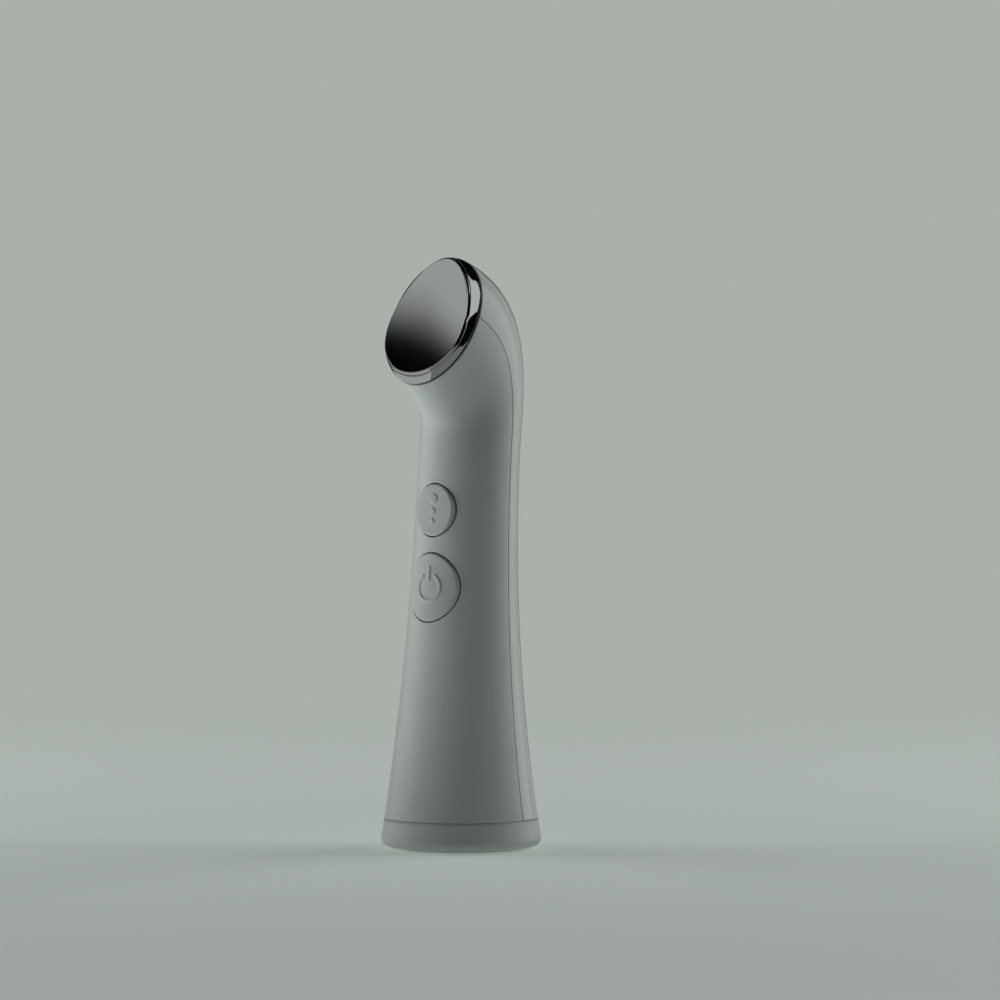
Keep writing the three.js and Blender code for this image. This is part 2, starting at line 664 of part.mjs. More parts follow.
// Rear shell: clips, ribs behind the cell and the motor, and the charging socket's slot and rails
const chargeBoardBottom = collarTop + CHARGE_BOARD_LIFT;
const chargeBoardTop = chargeBoardBottom + BOARD_THICKNESS;
const socketBottom = chargeBoardTop + GAP;
const socketMiddle = socketBottom + SOCKET_HEIGHT / 2;
const socketMouth = leanAt(socketMiddle) + radiusAt(socketMiddle) - GAP;
const chargeCorner = radiusAt(chargeBoardTop) - WALL - 2 * GAP;
const chargeBoardRear = Math.sqrt(chargeCorner ** 2 - (CHARGE_BOARD_WIDTH / 2) ** 2);
const chargeBoardFront = chargeBoardRear - CHARGE_BOARD_DEPTH;

function roundedSlot(width, height) {
  const radius = height / 2;
  const side = width / 2 - radius;
  return new THREE.Shape()
    .absarc(side, 0, radius, -Math.PI / 2, Math.PI / 2)
    .absarc(-side, 0, radius, Math.PI / 2, 3 * Math.PI / 2);
}

// A slot-shaped bar lying along y, between two depths
function slotBar(width, height, front, rear) {
  const options = { depth: rear - front, bevelEnabled: false, curveSegments: 6 };
  const bar = new THREE.ExtrudeGeometry(roundedSlot(width, height), options);
  return solid(bar.rotateX(Math.PI / 2).translate(0, rear, socketMiddle));
}

function chargeRails() {
  const half = CHARGE_BOARD_WIDTH / 2;
  const depth = [chargeBoardFront + RAIL_WIDTH, FAR];
  const height = [chargeBoardBottom - GAP - FRAME_WALL, chargeBoardTop + GAP + FRAME_WALL];
  const room = [chargeBoardBottom - GAP, chargeBoardTop + GAP];
  return [-1, 1].map((side) => {
    const across = inOrder(side * (half - RAIL_WIDTH / 2), side * (half + GAP + RAIL_WIDTH / 2));
    const channel = solid(block(across, depth, height));
    const groove = solid(block([-half - GAP, half + GAP], [-FAR, FAR], room));
    return cut(channel, groove).intersect(withinWall);
  });
}

function rib(level, heldRadius) {
  const half = RIB_WIDTH / 2;
  const front = -CORE_DEPTH - heldRadius + RIB_WRAP;
  const bar = block([-half, half], [level, level + RIB_THICKNESS], [-FAR / 2, front]);
  const seat = coreRod(heldRadius + GAP, level - GAP, level + RIB_THICKNESS + GAP);
  return cut(inControls(bar).intersect(withinWall), seat);
}

function rearShell() {
  const thick = WALL + GAP + CLIP_THICKNESS;
  const [tabLayer, rootLayer] = [layer(WALL + GAP, thick), layer(WALL / 2, thick)];
  const clips = clipLevels.map((z) => {
    const tab = tabLayer.intersect(seamBox(z, [-CLIP_REACH, CLIP_REACH], CLIP_WIDTH / 2));
    const root = rootLayer.intersect(seamBox(z, [CLIP_THICKNESS, CLIP_REACH], CLIP_WIDTH / 2));
    const window = [-CLIP_REACH + CLIP_THICKNESS, -CLIP_REACH + CLIP_THICKNESS + CLIP_WINDOW];
    return cut(unite(tab, root), seamBox(z, window, CLIP_WIDTH / 4));
  });
  const ribs = [
    rib(cellBottom + CELL_LENGTH / 3, cellRadius),
    rib(cellTop - CELL_LENGTH / 4, cellRadius),
    rib(motorBottom + MOTOR_LENGTH / 2, bootOuter),
  ];
  const slot = slotBar(SOCKET_WIDTH + 2 * GAP, SOCKET_HEIGHT + 2 * GAP, socketMouth - WALL * 2, FAR);
  const tube = shellTube().intersect(behindSeam);
  return cut(unite(tube, ...clips, ...ribs, ...chargeRails()), slot);
}

// Head: the gasket, the ring with its collar, the plate with its posts, and the backplate behind them
function eggOutline(inset) {
  const [length, width] = [plateLength / 2 - inset, plateWidth / 2 - inset];
  return Array.from({ length: BODY_SIDES }, (_, i) => {
    const angle = 2 * Math.PI * i / BODY_SIDES;
    const taper = 1 + PLATE_TAPER * Math.cos(angle);
    return new THREE.Vector2(width * Math.sin(angle) * taper, -length * Math.cos(angle));
  });
}

function eggRing(inset, height) {
  return eggOutline(inset).map(({ x, y }) => new THREE.Vector3(x, y, height).applyMatrix4(PLATE));
}

const plugBottom = -PLATE_EDGE - PLATE_PLUG_DEPTH;
const collarBottom = -COLLAR_DEPTH;
const backplateTop = collarBottom - GAP;
const backplateBottom = backplateTop - BACKPLATE_THICKNESS;
const headScrewHead = backplateBottom - GAP;
const headScrewTip = -WALL / 2 - GAP;
const heaterTop = plugBottom - GAP;
const padTop = heaterTop - HEATER_THICKNESS - GAP;
const postSpots = [-PLATE_POST_SPREAD, PLATE_POST_SPREAD];
const headLeadRadius = SENSOR_RADIUS + 2 * GAP;

function inHead(geometry) {
  return solid(geometry.applyMatrix4(HEAD));
}

function headGasket() {
  const sheet = layer(GASKET_SETBACK, WALL);
  return sheet.intersect(slab(HEAD, gasketBottom, gasketTop));
}

function headRing() {
  const edge = section(ringFront, ringBack, RING_WIDTH / 2);
  const band = solid(skin([edge, eggRing(0, -PLATE_EDGE - GAP)]));
  const collar = bodySolid(WALL + GAP).intersect(slab(HEAD, collarBottom, GAP));
  const groove = cut(bodySolid(0), bodySolid(WALL + GAP + LIP_REACH, 0));
  const grooveSlab = slab(HEAD, -LIP_DROP - LIP_HEIGHT - GAP, -LIP_DROP + GAP);
  const hole = prism(eggOutline(PLATE_PLUG_INSET - GAP), -2 * COLLAR_DEPTH, GAP);
  const belowLedge = slab(PLATE, -FAR, -PLATE_EDGE - GAP - RING_LEDGE);
  const inside = bodySolid(WALL + GAP + COLLAR_WALL).intersect(belowLedge);
  return cut(unite(band, collar), groove.intersect(grooveSlab), solid(hole.applyMatrix4(PLATE)), inside);
}

// The plate's skin, from the back of its rim over the rounded edge to the domed middle
function plateRings() {
  const edge = [0, 1 / 3, 2 / 3, 1].map((share) => {
    const angle = share * Math.PI / 2;
    return eggRing(PLATE_ROUND * (1 - Math.cos(angle)), PLATE_CROWN * Math.sin(angle));
  });
  const face = [1 / 3, 2 / 3].map((share) => {
    const inset = THREE.MathUtils.lerp(PLATE_ROUND, plateWidth / 2, share);
    return eggRing(inset, THREE.MathUtils.lerp(PLATE_DOME, PLATE_CROWN, (1 - share) ** 2));
  });
  return [eggRing(GAP, -PLATE_EDGE), eggRing(0, GAP - PLATE_EDGE), ...edge, ...face];
}

function contactPlate() {
  const shield = solid(skin(plateRings()));
  const plug = solid(prism(eggOutline(PLATE_PLUG_INSET), plugBottom, 0).applyMatrix4(PLATE));
  const behindFace = slab(PLATE, -FAR, 0);
  const posts = postSpots.map((y) => {
    const post = rod(PLATE_POST_RADIUS, collarBottom, PLATE_LIFT * 2, ROUND_SIDES, 0, y);
    return inHead(post).intersect(behindFace);
  });
  const holes = postSpots.map((y) => {
    return inHead(rod(holeRadius, collarBottom - GAP, headScrewTip + GAP, SMALL_SIDES, 0, y));
  });
  return cut(unite(shield, plug, ...posts), ...holes);
}

function insulatorPad() {
  const ringOf = (place, height, up) => {
    return circle(PAD_RADIUS, 0, up, ROUND_SIDES).map(({ x, y }) => pointIn(place, x, y, height));
  };
  const pad = solid(skin([ringOf(HEAD, collarBottom, 0), ringOf(PLATE, padTop, -PLATE_SHIFT)]));
  const holes = [-HEAD_LEAD_SIDE, HEAD_LEAD_SIDE].map((x) => {
    return inHead(rod(headLeadRadius + GAP, 2 * collarBottom, -collarBottom, SMALL_SIDES, x, 0));
  });
  return cut(pad, ...holes);
}

function headBackplate() {
  const disc = bodySolid(WALL + 3 * GAP).intersect(slab(HEAD, backplateBottom, backplateTop));
  const [low, high] = [backplateBottom - GAP, backplateTop + GAP];
  const screwHoles = postSpots.map((y) => inHead(rod(holeRadius, low, high, SMALL_SIDES, 0, y)));
  const leadHoles = [-HEAD_LEAD_SIDE, HEAD_LEAD_SIDE].map((x) => {
    return inHead(rod(headLeadRadius + GAP, low, high, SMALL_SIDES, x, 0));
  });
  return cut(disc, ...screwHoles, ...leadHoles);
}

// Frame: the trough for the cell, the spine behind the board, the motor's cradle and the base screws' lugs
function innerFrame() {
  const half = SPINE_WIDTH / 2;
  const stopTop = cellTop + GAP + CELL_STOP;
  const stopBottom = cellBottom - GAP - CELL_STOP;
  const frontHalf = inControls(block([-FAR, FAR], [-FAR, FAR], [-CORE_DEPTH - FRAME_WALL, 0]));
  const trough = cut(
    coreRod(troughOuter, stopBottom, stopTop),
    coreRod(cellRadius + GAP, cellBottom - GAP, cellTop + GAP),
  );
  const cradleBottom = motorBottom + FRAME_WALL / 2;
  const cradle = cut(
    coreRod(cradleOuter, cradleBottom, motorTop - FRAME_WALL / 2),
    coreRod(cradleInner, 0, motorTop),
  );
  const depth = [spineBack, spineFront];
  const spine = inControls(block([-half, half], [cellTop + GAP, boardTop - FRAME_WALL], depth));
  const armInner = cradleInner - 2 * GAP;
  const arms = [[-cradleOuter, -armInner], [armInner, cradleOuter]].map((across) => {
    return inControls(block(across, [boardTop - 2 * FRAME_WALL, cradleBottom + FRAME_WALL], depth));
  });
  const spacers = screwSpots.map(([x, y]) => {
    return inControls(rod(BOSS_RADIUS, spineFront - GAP, boardBack - GAP, ROUND_SIDES, x, y));
  });
  const lugs = baseScrewSpots.map(([x, y]) => {
    const side = Math.sign(x);
    const across = inOrder(side * (troughOuter - FRAME_WALL + GAP), x + side * CAP_POST_RADIUS);
    const lugDepth = [y - CAP_POST_RADIUS, y + CAP_POST_RADIUS];
    return solid(block(across, lugDepth, [lugBottom, lugBottom + LUG_HEIGHT]));
  });
  const windowHalf = CELL_WINDOW / 2;
  const windowFront = Math.max(-CORE_DEPTH + cellRadius - WALL, plugLevel + LEAD_RADIUS);
  const windows = [[cellTop, stopTop + 2 * LEAD_RADIUS], [stopBottom - GAP, cellBottom]].map((levels) => {
    return inControls(block([-windowHalf, windowHalf], levels, [-FAR, windowFront]));
  });
  const holes = [
    ...screwSpots.map(([x, y]) => inControls(rod(holeRadius, spineBack - GAP, boardBack, SMALL_SIDES, x, y))),
    ...baseScrewSpots.map(([x, y]) => solid(rod(holeRadius, 0, baseScrewTip + GAP, SMALL_SIDES, x, y))),
    coreRod(cradleInner, motorBottom - GAP, motorTop),
  ];
  const troughs = unite(trough, cradle).intersect(frontHalf);
  return cut(unite(troughs, spine, ...arms, ...spacers, ...lugs), ...windows, ...holes);
}

// Main board, with holes for its screws
function mainBoard() {
  const outline = [
    new THREE.Vector2(-boardHalf, -BOARD_TAIL),
    new THREE.Vector2(boardHalf, -BOARD_TAIL),
    new THREE.Vector2(boardHalf, boardTop),
    new THREE.Vector2(-boardHalf, boardTop),
  ];
  return prism(outline, boardBack, boardFront, screwSpots.map(([x, y]) => circle(holeRadius, x, y)));
}

function switchBody() {
  const half = SWITCH_SIZE / 2;
  const well = switchTop - PLUNGER_HIDDEN - BUTTON_TRAVEL - GAP;
  return cut(
    solid(block([-half, half], [-half, half], [switchBottom, switchTop])),
    solid(rod(PLUNGER_RADIUS + GAP, well, switchTop + GAP, ROUND_SIDES)),
  );
}

function plunger() {
  return rod(PLUNGER_RADIUS, switchTop - PLUNGER_HIDDEN, plungerTop, ROUND_SIDES);
}

// A screw with its head at the bottom and its shank going up, and a cross recess in the head
function screw(length) {
  const head = solid(rod(SCREW_HEAD_RADIUS, 0, SCREW_HEAD_HEIGHT));
  const shank = solid(rod(SCREW_SHANK_RADIUS, 0, SCREW_HEAD_HEIGHT + length));
  const [long, short] = [SCREW_CROSS_LENGTH / 2, SCREW_CROSS_WIDTH / 2];
  const cross = [[long, short], [short, long]].map(([x, y]) => {
    return solid(block([-x, x], [-y, y], [-GAP, SCREW_HEAD_HEIGHT / 2]));
  });
  return geometryOf(cut(unite(head, shank), ...cross));
}

// Cell, motor and the parts on the shared axis, turned about z
function cell() {
  const shoulder = cellTop - CELL_NUB;
  return turned([
    [0, cellBottom],
    [cellRadius - GAP, cellBottom],
    [cellRadius, cellBottom + GAP],
    [cellRadius, shoulder - GAP],
    [cellRadius - GAP, shoulder],
    [CELL_NUB_RADIUS, shoulder],
    [CELL_NUB_RADIUS, cellTop],
    [0, cellTop],
  ], ROUND_SIDES);
}

function motorCan() {
  const bearing = SHAFT_RADIUS + GAP;
  return turned([
    [0, motorBottom],
    [motorRadius - GAP, motorBottom],
    [motorRadius, motorBottom + GAP],
    [motorRadius, motorTop - GAP],
    [motorRadius - GAP, motorTop],
    [bearing, motorTop],
    [bearing, motorTop - SHAFT_HIDDEN - GAP],
    [0, motorTop - SHAFT_HIDDEN - GAP],
  ], ROUND_SIDES);
}

function motorBoot() {
  const [bottom, top] = [motorBottom + GAP, motorTop - GAP];
  return turned([
    [bootInner, bottom],
    [bootOuter, bottom],
    [bootOuter, top],
    [bootInner, top],
    [bootInner, bottom],
  ], ROUND_SIDES);
}

function motorWeight() {
  const bottom = motorTop + 2 * GAP;
  const disc = solid(rod(WEIGHT_RADIUS, bottom, bottom + WEIGHT_LENGTH, ROUND_SIDES));
  const bore = solid(rod(SHAFT_RADIUS + GAP, 0, FAR));
  const spare = solid(block([-FAR, FAR], [WEIGHT_FLAT, FAR], [0, FAR]));
  return cut(disc, bore, spare);
}

// Charging socket: a slot-shaped can with its tongue, open to the rear
function chargingSocket() {
  const front = socketMouth - SOCKET_DEPTH;
  const can = slotBar(SOCKET_WIDTH, SOCKET_HEIGHT, front, socketMouth);
  const [roomWidth, roomHeight] = [SOCKET_WIDTH, SOCKET_HEIGHT].map((size) => size - 2 * SOCKET_WALL);
  const room = slotBar(roomWidth, roomHeight, front + SOCKET_BACK, socketMouth + GAP);
  const side = (roomWidth - roomHeight) / 2;
  const height = [socketMiddle - SOCKET_TONGUE / 2, socketMiddle + SOCKET_TONGUE / 2];
  const tongue = solid(block([-side, side], [front + SOCKET_BACK / 2, socketMouth - SOCKET_BACK], height));
  return unite(cut(can, room), tongue);
}

function chargingBoard() {
  const half = CHARGE_BOARD_WIDTH / 2;
  return block([-half, half], [chargeBoardFront, chargeBoardRear], [chargeBoardBottom, chargeBoardTop]);
}

// Leads: each is a closed tube along its real route, from one soldered end to the other
function lead(points, steps) {
  const path = new THREE.CatmullRomCurve3(points, false, 'centripetal');
  const shape = new THREE.Shape(circle(LEAD_RADIUS, 0, 0, 8));
  return new THREE.ExtrudeGeometry(shape, { extrudePath: path, steps, bevelEnabled: false });
}

// Points that the routes go through: on the boards, beside the cell and inside the head
const leadLift = GAP + LEAD_RADIUS;
const sideRun = troughOuter + GAP + 2 * LEAD_RADIUS;
const plug = BOARD_PARTS.battery_connector;
const plugSide = plug.size[0] / 2 + GAP;
const plugMiddle = plug.at[1];
const plugFoot = plugMiddle - plug.size[1] / 2 - GAP;
const plugLevel = boardBack - GAP - plug.size[2] / 2;
const backLevel = boardBack - leadLift;
const frontLevel = boardFront + leadLift;
const tabLevel = cellTop + GAP + CELL_TAB + leadLift;
const lowTabLevel = cellBottom - GAP - CELL_TAB - leadLift;
const headLeadTop = PLATE_LIFT + padTop - GAP / 2;
const control = (x, y, z) => pointIn(CONTROLS, x, y, z);

function besideCell(side, degrees, share) {
  const angle = THREE.MathUtils.degToRad(degrees);
  const level = THREE.MathUtils.lerp(cellBottom, cellTop, share);
  return control(side * sideRun * Math.sin(angle), level, -CORE_DEPTH - sideRun * Math.cos(angle));
}

function insideHead(t, share) {
  const { x, y } = throat.getPoint(t).lerp(crown.getPoint(t), share);
  return new THREE.Vector3(HEAD_LEAD_SIDE, x, y);
}

function chargePad(rise) {
  const side = RAIL_WIDTH - CHARGE_BOARD_WIDTH / 2;
  return new THREE.Vector3(side, chargeBoardFront + RAIL_WIDTH, chargeBoardTop + rise);
}

const LEAD_ROUTES = {
  battery_lead_positive: [
    control(-2 * LEAD_RADIUS, tabLevel, -CORE_DEPTH - CELL_TAB_DEPTH / 4),
    control(-2 * LEAD_RADIUS, tabLevel, -CORE_DEPTH + CELL_TAB_DEPTH / 4),
    control(-2 * LEAD_RADIUS, tabLevel + GAP, plugLevel - leadLift),
    control(-2 * LEAD_RADIUS, plugFoot, plugLevel),
  ],
  battery_lead_negative: [
    control(0, lowTabLevel, -CORE_DEPTH - LEAD_RADIUS),
    control(0, lowTabLevel, -CORE_DEPTH - cellRadius * 0.8),
    besideCell(1, 25, -0.02),
    besideCell(1, 50, 0.05),
    besideCell(1, 72, 0.16),
    besideCell(1, 90, 0.28),
    besideCell(1, 90, 0.68),
    besideCell(1, 100, 0.93),
    control(sideRun - leadLift, plugFoot - leadLift, plugLevel),
    control(plugSide + 2 * leadLift, plugMiddle - leadLift, plugLevel),
    control(plugSide, plugMiddle, plugLevel),
  ],
  charge_lead: [
    chargePad(GAP),
    chargePad(LEAD_RISE),
    besideCell(-1, 78, 0.32),
    besideCell(-1, 90, 0.52),
    besideCell(-1, 96, 0.88),
    control(leadLift - sideRun, -BOARD_TAIL, plugLevel),
    control(-plugSide - LEAD_RISE, plugMiddle - leadLift, backLevel),
    control(-plugSide - LEAD_RISE / 2, plugMiddle, backLevel),
  ],
  motor_lead: [
    control(motorRadius / 2, motorBottom - 2 * GAP, -CORE_DEPTH),
    control(motorRadius * 0.7, motorBottom - 2 * leadLift, -CORE_DEPTH + leadLift),
    control(HEAD_LEAD_SIDE - LEAD_RADIUS, boardTop - LEAD_RADIUS, spineFront + leadLift),
    control(HEAD_LEAD_SIDE + LEAD_RADIUS, boardTop - LEAD_RISE, backLevel),
    control(HEAD_LEAD_SIDE + LEAD_RADIUS, boardTop - 2 * LEAD_RISE, backLevel),
  ],
  heater_lead: [
    pointIn(HEAD, HEAD_LEAD_SIDE, 0, headLeadTop),
    pointIn(HEAD, HEAD_LEAD_SIDE, 0, backplateTop),
    pointIn(HEAD, HEAD_LEAD_SIDE, 0, backplateBottom - leadLift),
    insideHead(0.7, 0.3),
    insideHead(0.45, 0.2),
    control(HEAD_LEAD_SIDE, boardTop + LEAD_RISE / 2, frontLevel),
    control(HEAD_LEAD_SIDE, boardTop - LEAD_RISE / 2, frontLevel),
  ],
};

// The sensor's lead mirrors the heater's, and starts lower, under the sensor
LEAD_ROUTES.sensor_lead = LEAD_ROUTES.heater_lead.map(({ x, y, z }) => new THREE.Vector3(-x, y, z));
LEAD_ROUTES.sensor_lead[0] = pointIn(HEAD, -HEAD_LEAD_SIDE, 0, headLeadTop - SENSOR_LENGTH - GAP);

// Finishes
const FINISHES = {
  shell: { color: 0xcfd5d1, roughness: 0.3, metalness: 0 },
  button: { color: 0xc4cbc7, roughness: 0.35, metalness: 0 },
  chrome: { color: 0xdadcdd, roughness: 0.05, metalness: 1 },
  rubber: { color: 0x3a3c3e, roughness: 0.8, metalness: 0 },
  silicone: { color: 0xb9bcbc, roughness: 0.7, metalness: 0 },
  frame: { color: 0x2c2e30, roughness: 0.55, metalness: 0 },
  board: { color: 0x1f5a3a, roughness: 0.5, metalness: 0 },
  chip: { color: 0x18191a, roughness: 0.4, metalness: 0 },
  steel: { color: 0xa9abad, roughness: 0.3, metalness: 1 },
  nickel: { color: 0xbdbab2, roughness: 0.25, metalness: 1 },
  brass: { color: 0xb99a58, roughness: 0.3, metalness: 1 },
  wrap: { color: 0x2a5f9e, roughness: 0.35, metalness: 0 },
  ceramic: { color: 0xd8b25c, roughness: 0.6, metalness: 0 },
  foam: { color: 0xe9e4d8, roughness: 0.95, metalness: 0 },
  white: { color: 0xefefea, roughness: 0.5, metalness: 0 },
  red: { color: 0xb3201c, roughness: 0.5, metalness: 0 },
  black: { color: 0x1a1a1a, roughness: 0.5, metalness: 0 },
};

function add(parent, name, geometry, finish) {
  const mesh = new THREE.Mesh(geometry, new THREE.MeshStandardMaterial(FINISHES[finish]));
  mesh.name = name;
  parent.add(mesh);
  return mesh;
}

function groupAt(parent, place) {
  const group = new THREE.Group();
  group.applyMatrix4(place);
  parent.add(group);
  return group;
}

function addCasing(wand) {
  add(wand, 'front_shell', geometryOf(frontShell()), 'shell');
  add(wand, 'rear_shell', geometryOf(rearShell()), 'shell');
  add(wand, 'base_cap', geometryOf(baseCap()), 'shell');
  add(wand, 'foot_pad', footPad(), 'silicone');
  add(wand, 'inner_frame', geometryOf(innerFrame()), 'frame');
  const shank = baseScrewTip - baseScrewHead - SCREW_HEAD_HEIGHT;
  baseScrewSpots.forEach(([x, y], i) => {
    const name = ['base_screw_left', 'base_screw_right'][i];
    add(wand, name, screw(shank), 'steel').position.set(x, y, baseScrewHead);
  });
}

function addHead(wand) {
  add(wand, 'head_gasket', geometryOf(headGasket()), 'rubber');
  add(wand, 'head_ring', geometryOf(headRing()), 'chrome');
  add(wand, 'contact_plate', geometryOf(contactPlate()), 'chrome');
  add(wand, 'insulator_pad', geometryOf(insulatorPad()), 'foam');
  add(wand, 'head_backplate', geometryOf(headBackplate()), 'frame');
  const head = groupAt(wand, HEAD);
  const shank = headScrewTip - headScrewHead;
  postSpots.forEach((y, i) => {
    const name = ['head_screw_lower', 'head_screw_upper'][i];
    add(head, name, screw(shank), 'steel').position.set(0, y, headScrewHead - SCREW_HEAD_HEIGHT);
  });
  const plate = groupAt(wand, PLATE);
  const heater = rod(HEATER_RADIUS, heaterTop - HEATER_THICKNESS, heaterTop, ROUND_SIDES);
  add(plate, 'heater_disc', heater, 'ceramic');
  const sensor = rod(SENSOR_RADIUS, padTop - SENSOR_LENGTH, padTop, SMALL_SIDES, -HEAD_LEAD_SIDE, 0);
  add(plate, 'temperature_sensor', sensor, 'black');
}

function addButton(controls, name, level, cap) {
  const button = new THREE.Group();
  button.position.y = level;
  controls.add(button);
  add(button, name + '_button', geometryOf(cap), 'button');
  add(button, name + '_plunger', plunger(), 'white');
  add(button, name + '_switch', geometryOf(switchBody()), 'chip');
}

function addBoard(controls) {
  add(controls, 'main_board', mainBoard(), 'board');
  for (const [name, { size: [width, length, height], at: [x, y], finish }] of Object.entries(BOARD_PARTS)) {
    const part = new THREE.BoxGeometry(width, length, height);
    add(controls, name, part, finish).position.set(x, y, boardBack - GAP - height / 2);
  }
  const { size: [width, length, height], at: [x, y], finish } = STATUS_LIGHT;
  const light = new THREE.BoxGeometry(width, length, height);
  add(controls, 'status_light', light, finish).position.set(x, y, boardFront + GAP + height / 2);
  const shank = screwTip - spineBack + GAP;
  for (const [side, [x, y]] of Object.entries(BOARD_SCREWS)) {
    const head = spineBack - GAP - SCREW_HEAD_HEIGHT;
    add(controls, 'board_screw_' + side, screw(shank), 'steel').position.set(x, y, head);
  }
}

function addCore(controls) {
  const core = new THREE.Group();
  core.position.z = -CORE_DEPTH;
  core.rotation.x = -Math.PI / 2;
  controls.add(core);
  add(core, 'battery_cell', cell(), 'wrap');
  const across = [-CELL_TAB_WIDTH / 2, CELL_TAB_WIDTH / 2];
  const depth = [-CELL_TAB_DEPTH / 2, CELL_TAB_DEPTH / 2];
  const upper = cellTop + GAP;
  const lower = cellBottom - GAP;
  add(core, 'battery_tab_positive', block(across, depth, [upper, upper + CELL_TAB]), 'nickel');
  add(core, 'battery_tab_negative', block(across, depth, [lower - CELL_TAB, lower]), 'nickel');
  add(core, 'vibration_motor', motorCan(), 'steel');
  add(core, 'motor_boot', motorBoot(), 'rubber');
  const shaftBottom = motorTop - SHAFT_HIDDEN;
  add(core, 'motor_shaft', rod(SHAFT_RADIUS, shaftBottom, shaftBottom + SHAFT_LENGTH), 'steel');
  add(core, 'motor_weight', geometryOf(motorWeight()), 'brass');
}

function addCharging(wand) {
  add(wand, 'charging_socket', geometryOf(chargingSocket()), 'nickel');
  add(wand, 'charging_board', chargingBoard(), 'board');
}

const LEAD_FINISHES = { battery_lead_positive: 'red', battery_lead_negative: 'black' };

function addLeads(wand) {
  for (const [name, points] of Object.entries(LEAD_ROUTES)) {
    add(wand, name, lead(points, 3 * (points.length - 1)), LEAD_FINISHES[name] ?? 'white');
  }
}

function buildWand() {
  const wand = new THREE.Group();
  addCasing(wand);
  addHead(wand);
  const controls = groupAt(wand, CONTROLS);
  const powerCap = buttonCap(POWER_WIDTH, POWER_LENGTH, POWER_FACE_RADIUS, powerMarks());
  const modeCap = buttonCap(MODE_WIDTH, MODE_LENGTH, MODE_FACE_RADIUS, modeMarks());
  addButton(controls, 'power', 0, powerCap);
  addButton(controls, 'mode', buttonPitch, modeCap);
  addBoard(controls);
  addCore(controls);
  addCharging(wand);
  addLeads(wand);
  return wand;
}

const wand = buildWand();

export default wand;
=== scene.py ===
"""Skincare wand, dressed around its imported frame. The front faces -Y and +Z is up.

Lengths are in millimetres while a mesh is worked out, and in metres once it is in Blender.
"""
import json
import math

import bmesh
import bpy
import numpy as np
from mathutils import Matrix, Vector

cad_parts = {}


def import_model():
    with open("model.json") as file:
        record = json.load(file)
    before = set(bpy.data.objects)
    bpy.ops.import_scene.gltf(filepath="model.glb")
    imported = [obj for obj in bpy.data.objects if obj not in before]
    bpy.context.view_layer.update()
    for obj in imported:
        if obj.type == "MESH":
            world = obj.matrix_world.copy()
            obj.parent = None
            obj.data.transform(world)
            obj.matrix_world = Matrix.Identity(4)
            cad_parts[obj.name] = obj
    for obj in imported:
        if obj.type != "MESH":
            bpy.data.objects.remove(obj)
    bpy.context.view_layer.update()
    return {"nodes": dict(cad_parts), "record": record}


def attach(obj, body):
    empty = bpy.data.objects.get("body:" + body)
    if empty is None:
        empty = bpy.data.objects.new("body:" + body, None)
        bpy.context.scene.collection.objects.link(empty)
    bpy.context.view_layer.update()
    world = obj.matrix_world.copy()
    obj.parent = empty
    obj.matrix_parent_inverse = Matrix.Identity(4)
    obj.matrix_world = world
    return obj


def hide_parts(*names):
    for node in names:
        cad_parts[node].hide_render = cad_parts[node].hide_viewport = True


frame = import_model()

MM = 0.001

# Outline of the handle and head, as in the part's source. In the side view a point is (y, z).
WALL = 2.0
SEAM_SETBACK = 1.3                    # the shells' seam, behind the centre line
CAP_SEAM_HEIGHT = 8.3
NECK_HEIGHT = 112.05
HANDLE_SPAN = NECK_HEIGHT - CAP_SEAM_HEIGHT
NECK_RADIUS = 14.2
NECK_LEAN = 3.7                       # how far back the neck's middle lies from the foot's
FOOT_FLARE = 8.7                      # what the flare adds to the radius at the ground
FLARE_POWER = 2.15
RING_MIDDLE = np.array([-11.8, 147.35])
RING_LENGTH = 38.7
RING_WIDTH = 31.2
RING_TILT = math.radians(25)          # how far up the ring looks
THROAT_PULLS = (5, 14)                # the curve's handles at the neck and at the ring
THROAT_ANGLE = 40                     # its slope at the ring, in degrees
CROWN_PULLS = (11, 34)
CROWN_ANGLE = 17
HEAD_WAIST = 0.9                      # how far each side is drawn in between the neck and the ring

# Base cap and foot
FOOT_RADIUS = 18.2
FOOT_THICKNESS = 1.3
FOOT_EDGE = 0.35
FOOT_STANDOUT = 0.5
FOOT_RECESS = 18.5
CAP_CORNER = 2.3
CAP_FLOOR = (1.6, 3.6)                # underside and top of the cap's floor

# Contact plate: its heights are from its own plane, which leans back from the ring's
PLATE_LENGTH = 36.4
PLATE_WIDTH = 27.8
PLATE_TAPER = 0.2                     # makes it egg-shaped, with the wide end low
PLATE_SHIFT = 0.6                     # up along the ring
PLATE_LIFT = 1.7                      # out from the ring's edge
PLATE_EXTRA_TILT = math.radians(1)
PLATE_EDGE = 0.7                      # how far down its underside lies
PLATE_CROWN = 0.78                    # height of its face next to the bevel
PLATE_DOME = 1.38                     # and in the middle

# Buttons and the openings round them: levels are up the front wall from the controls' middle
CONTROLS_MIDDLE = np.array([0, -13.635, 73.3])
WALL_TILT = math.radians(4.92)        # how far the wall leans back there
BUTTON_GAP = 0.3
BUTTON_PROUD = 0.4
BUTTON_ROUND = 0.55
BUTTON_DEPTH = 3.6
BUTTONS = {
    "power": dict(level=0.0, width=17.4, length=19.1, face_radius=16.5),
    "mode": dict(level=21.55, width=13.3, length=14.6, face_radius=40.0),
}
MARK_HEIGHT = 0.3
MARK_EDGE = (-0.26, 0.2)              # distances outside a mark between which its height fades
POWER_MARK_RADIUS = 3.8
POWER_MARK_LINE = 1.0
POWER_MARK_GAP = math.radians(70)
POWER_BAR = (1.7, 6.0)                # heights of its two ends on the button
MODE_DOTS = [(-3.1, 0.75), (-0.3, 1.0), (3.2, 1.4)]  # each a height on the button and a radius

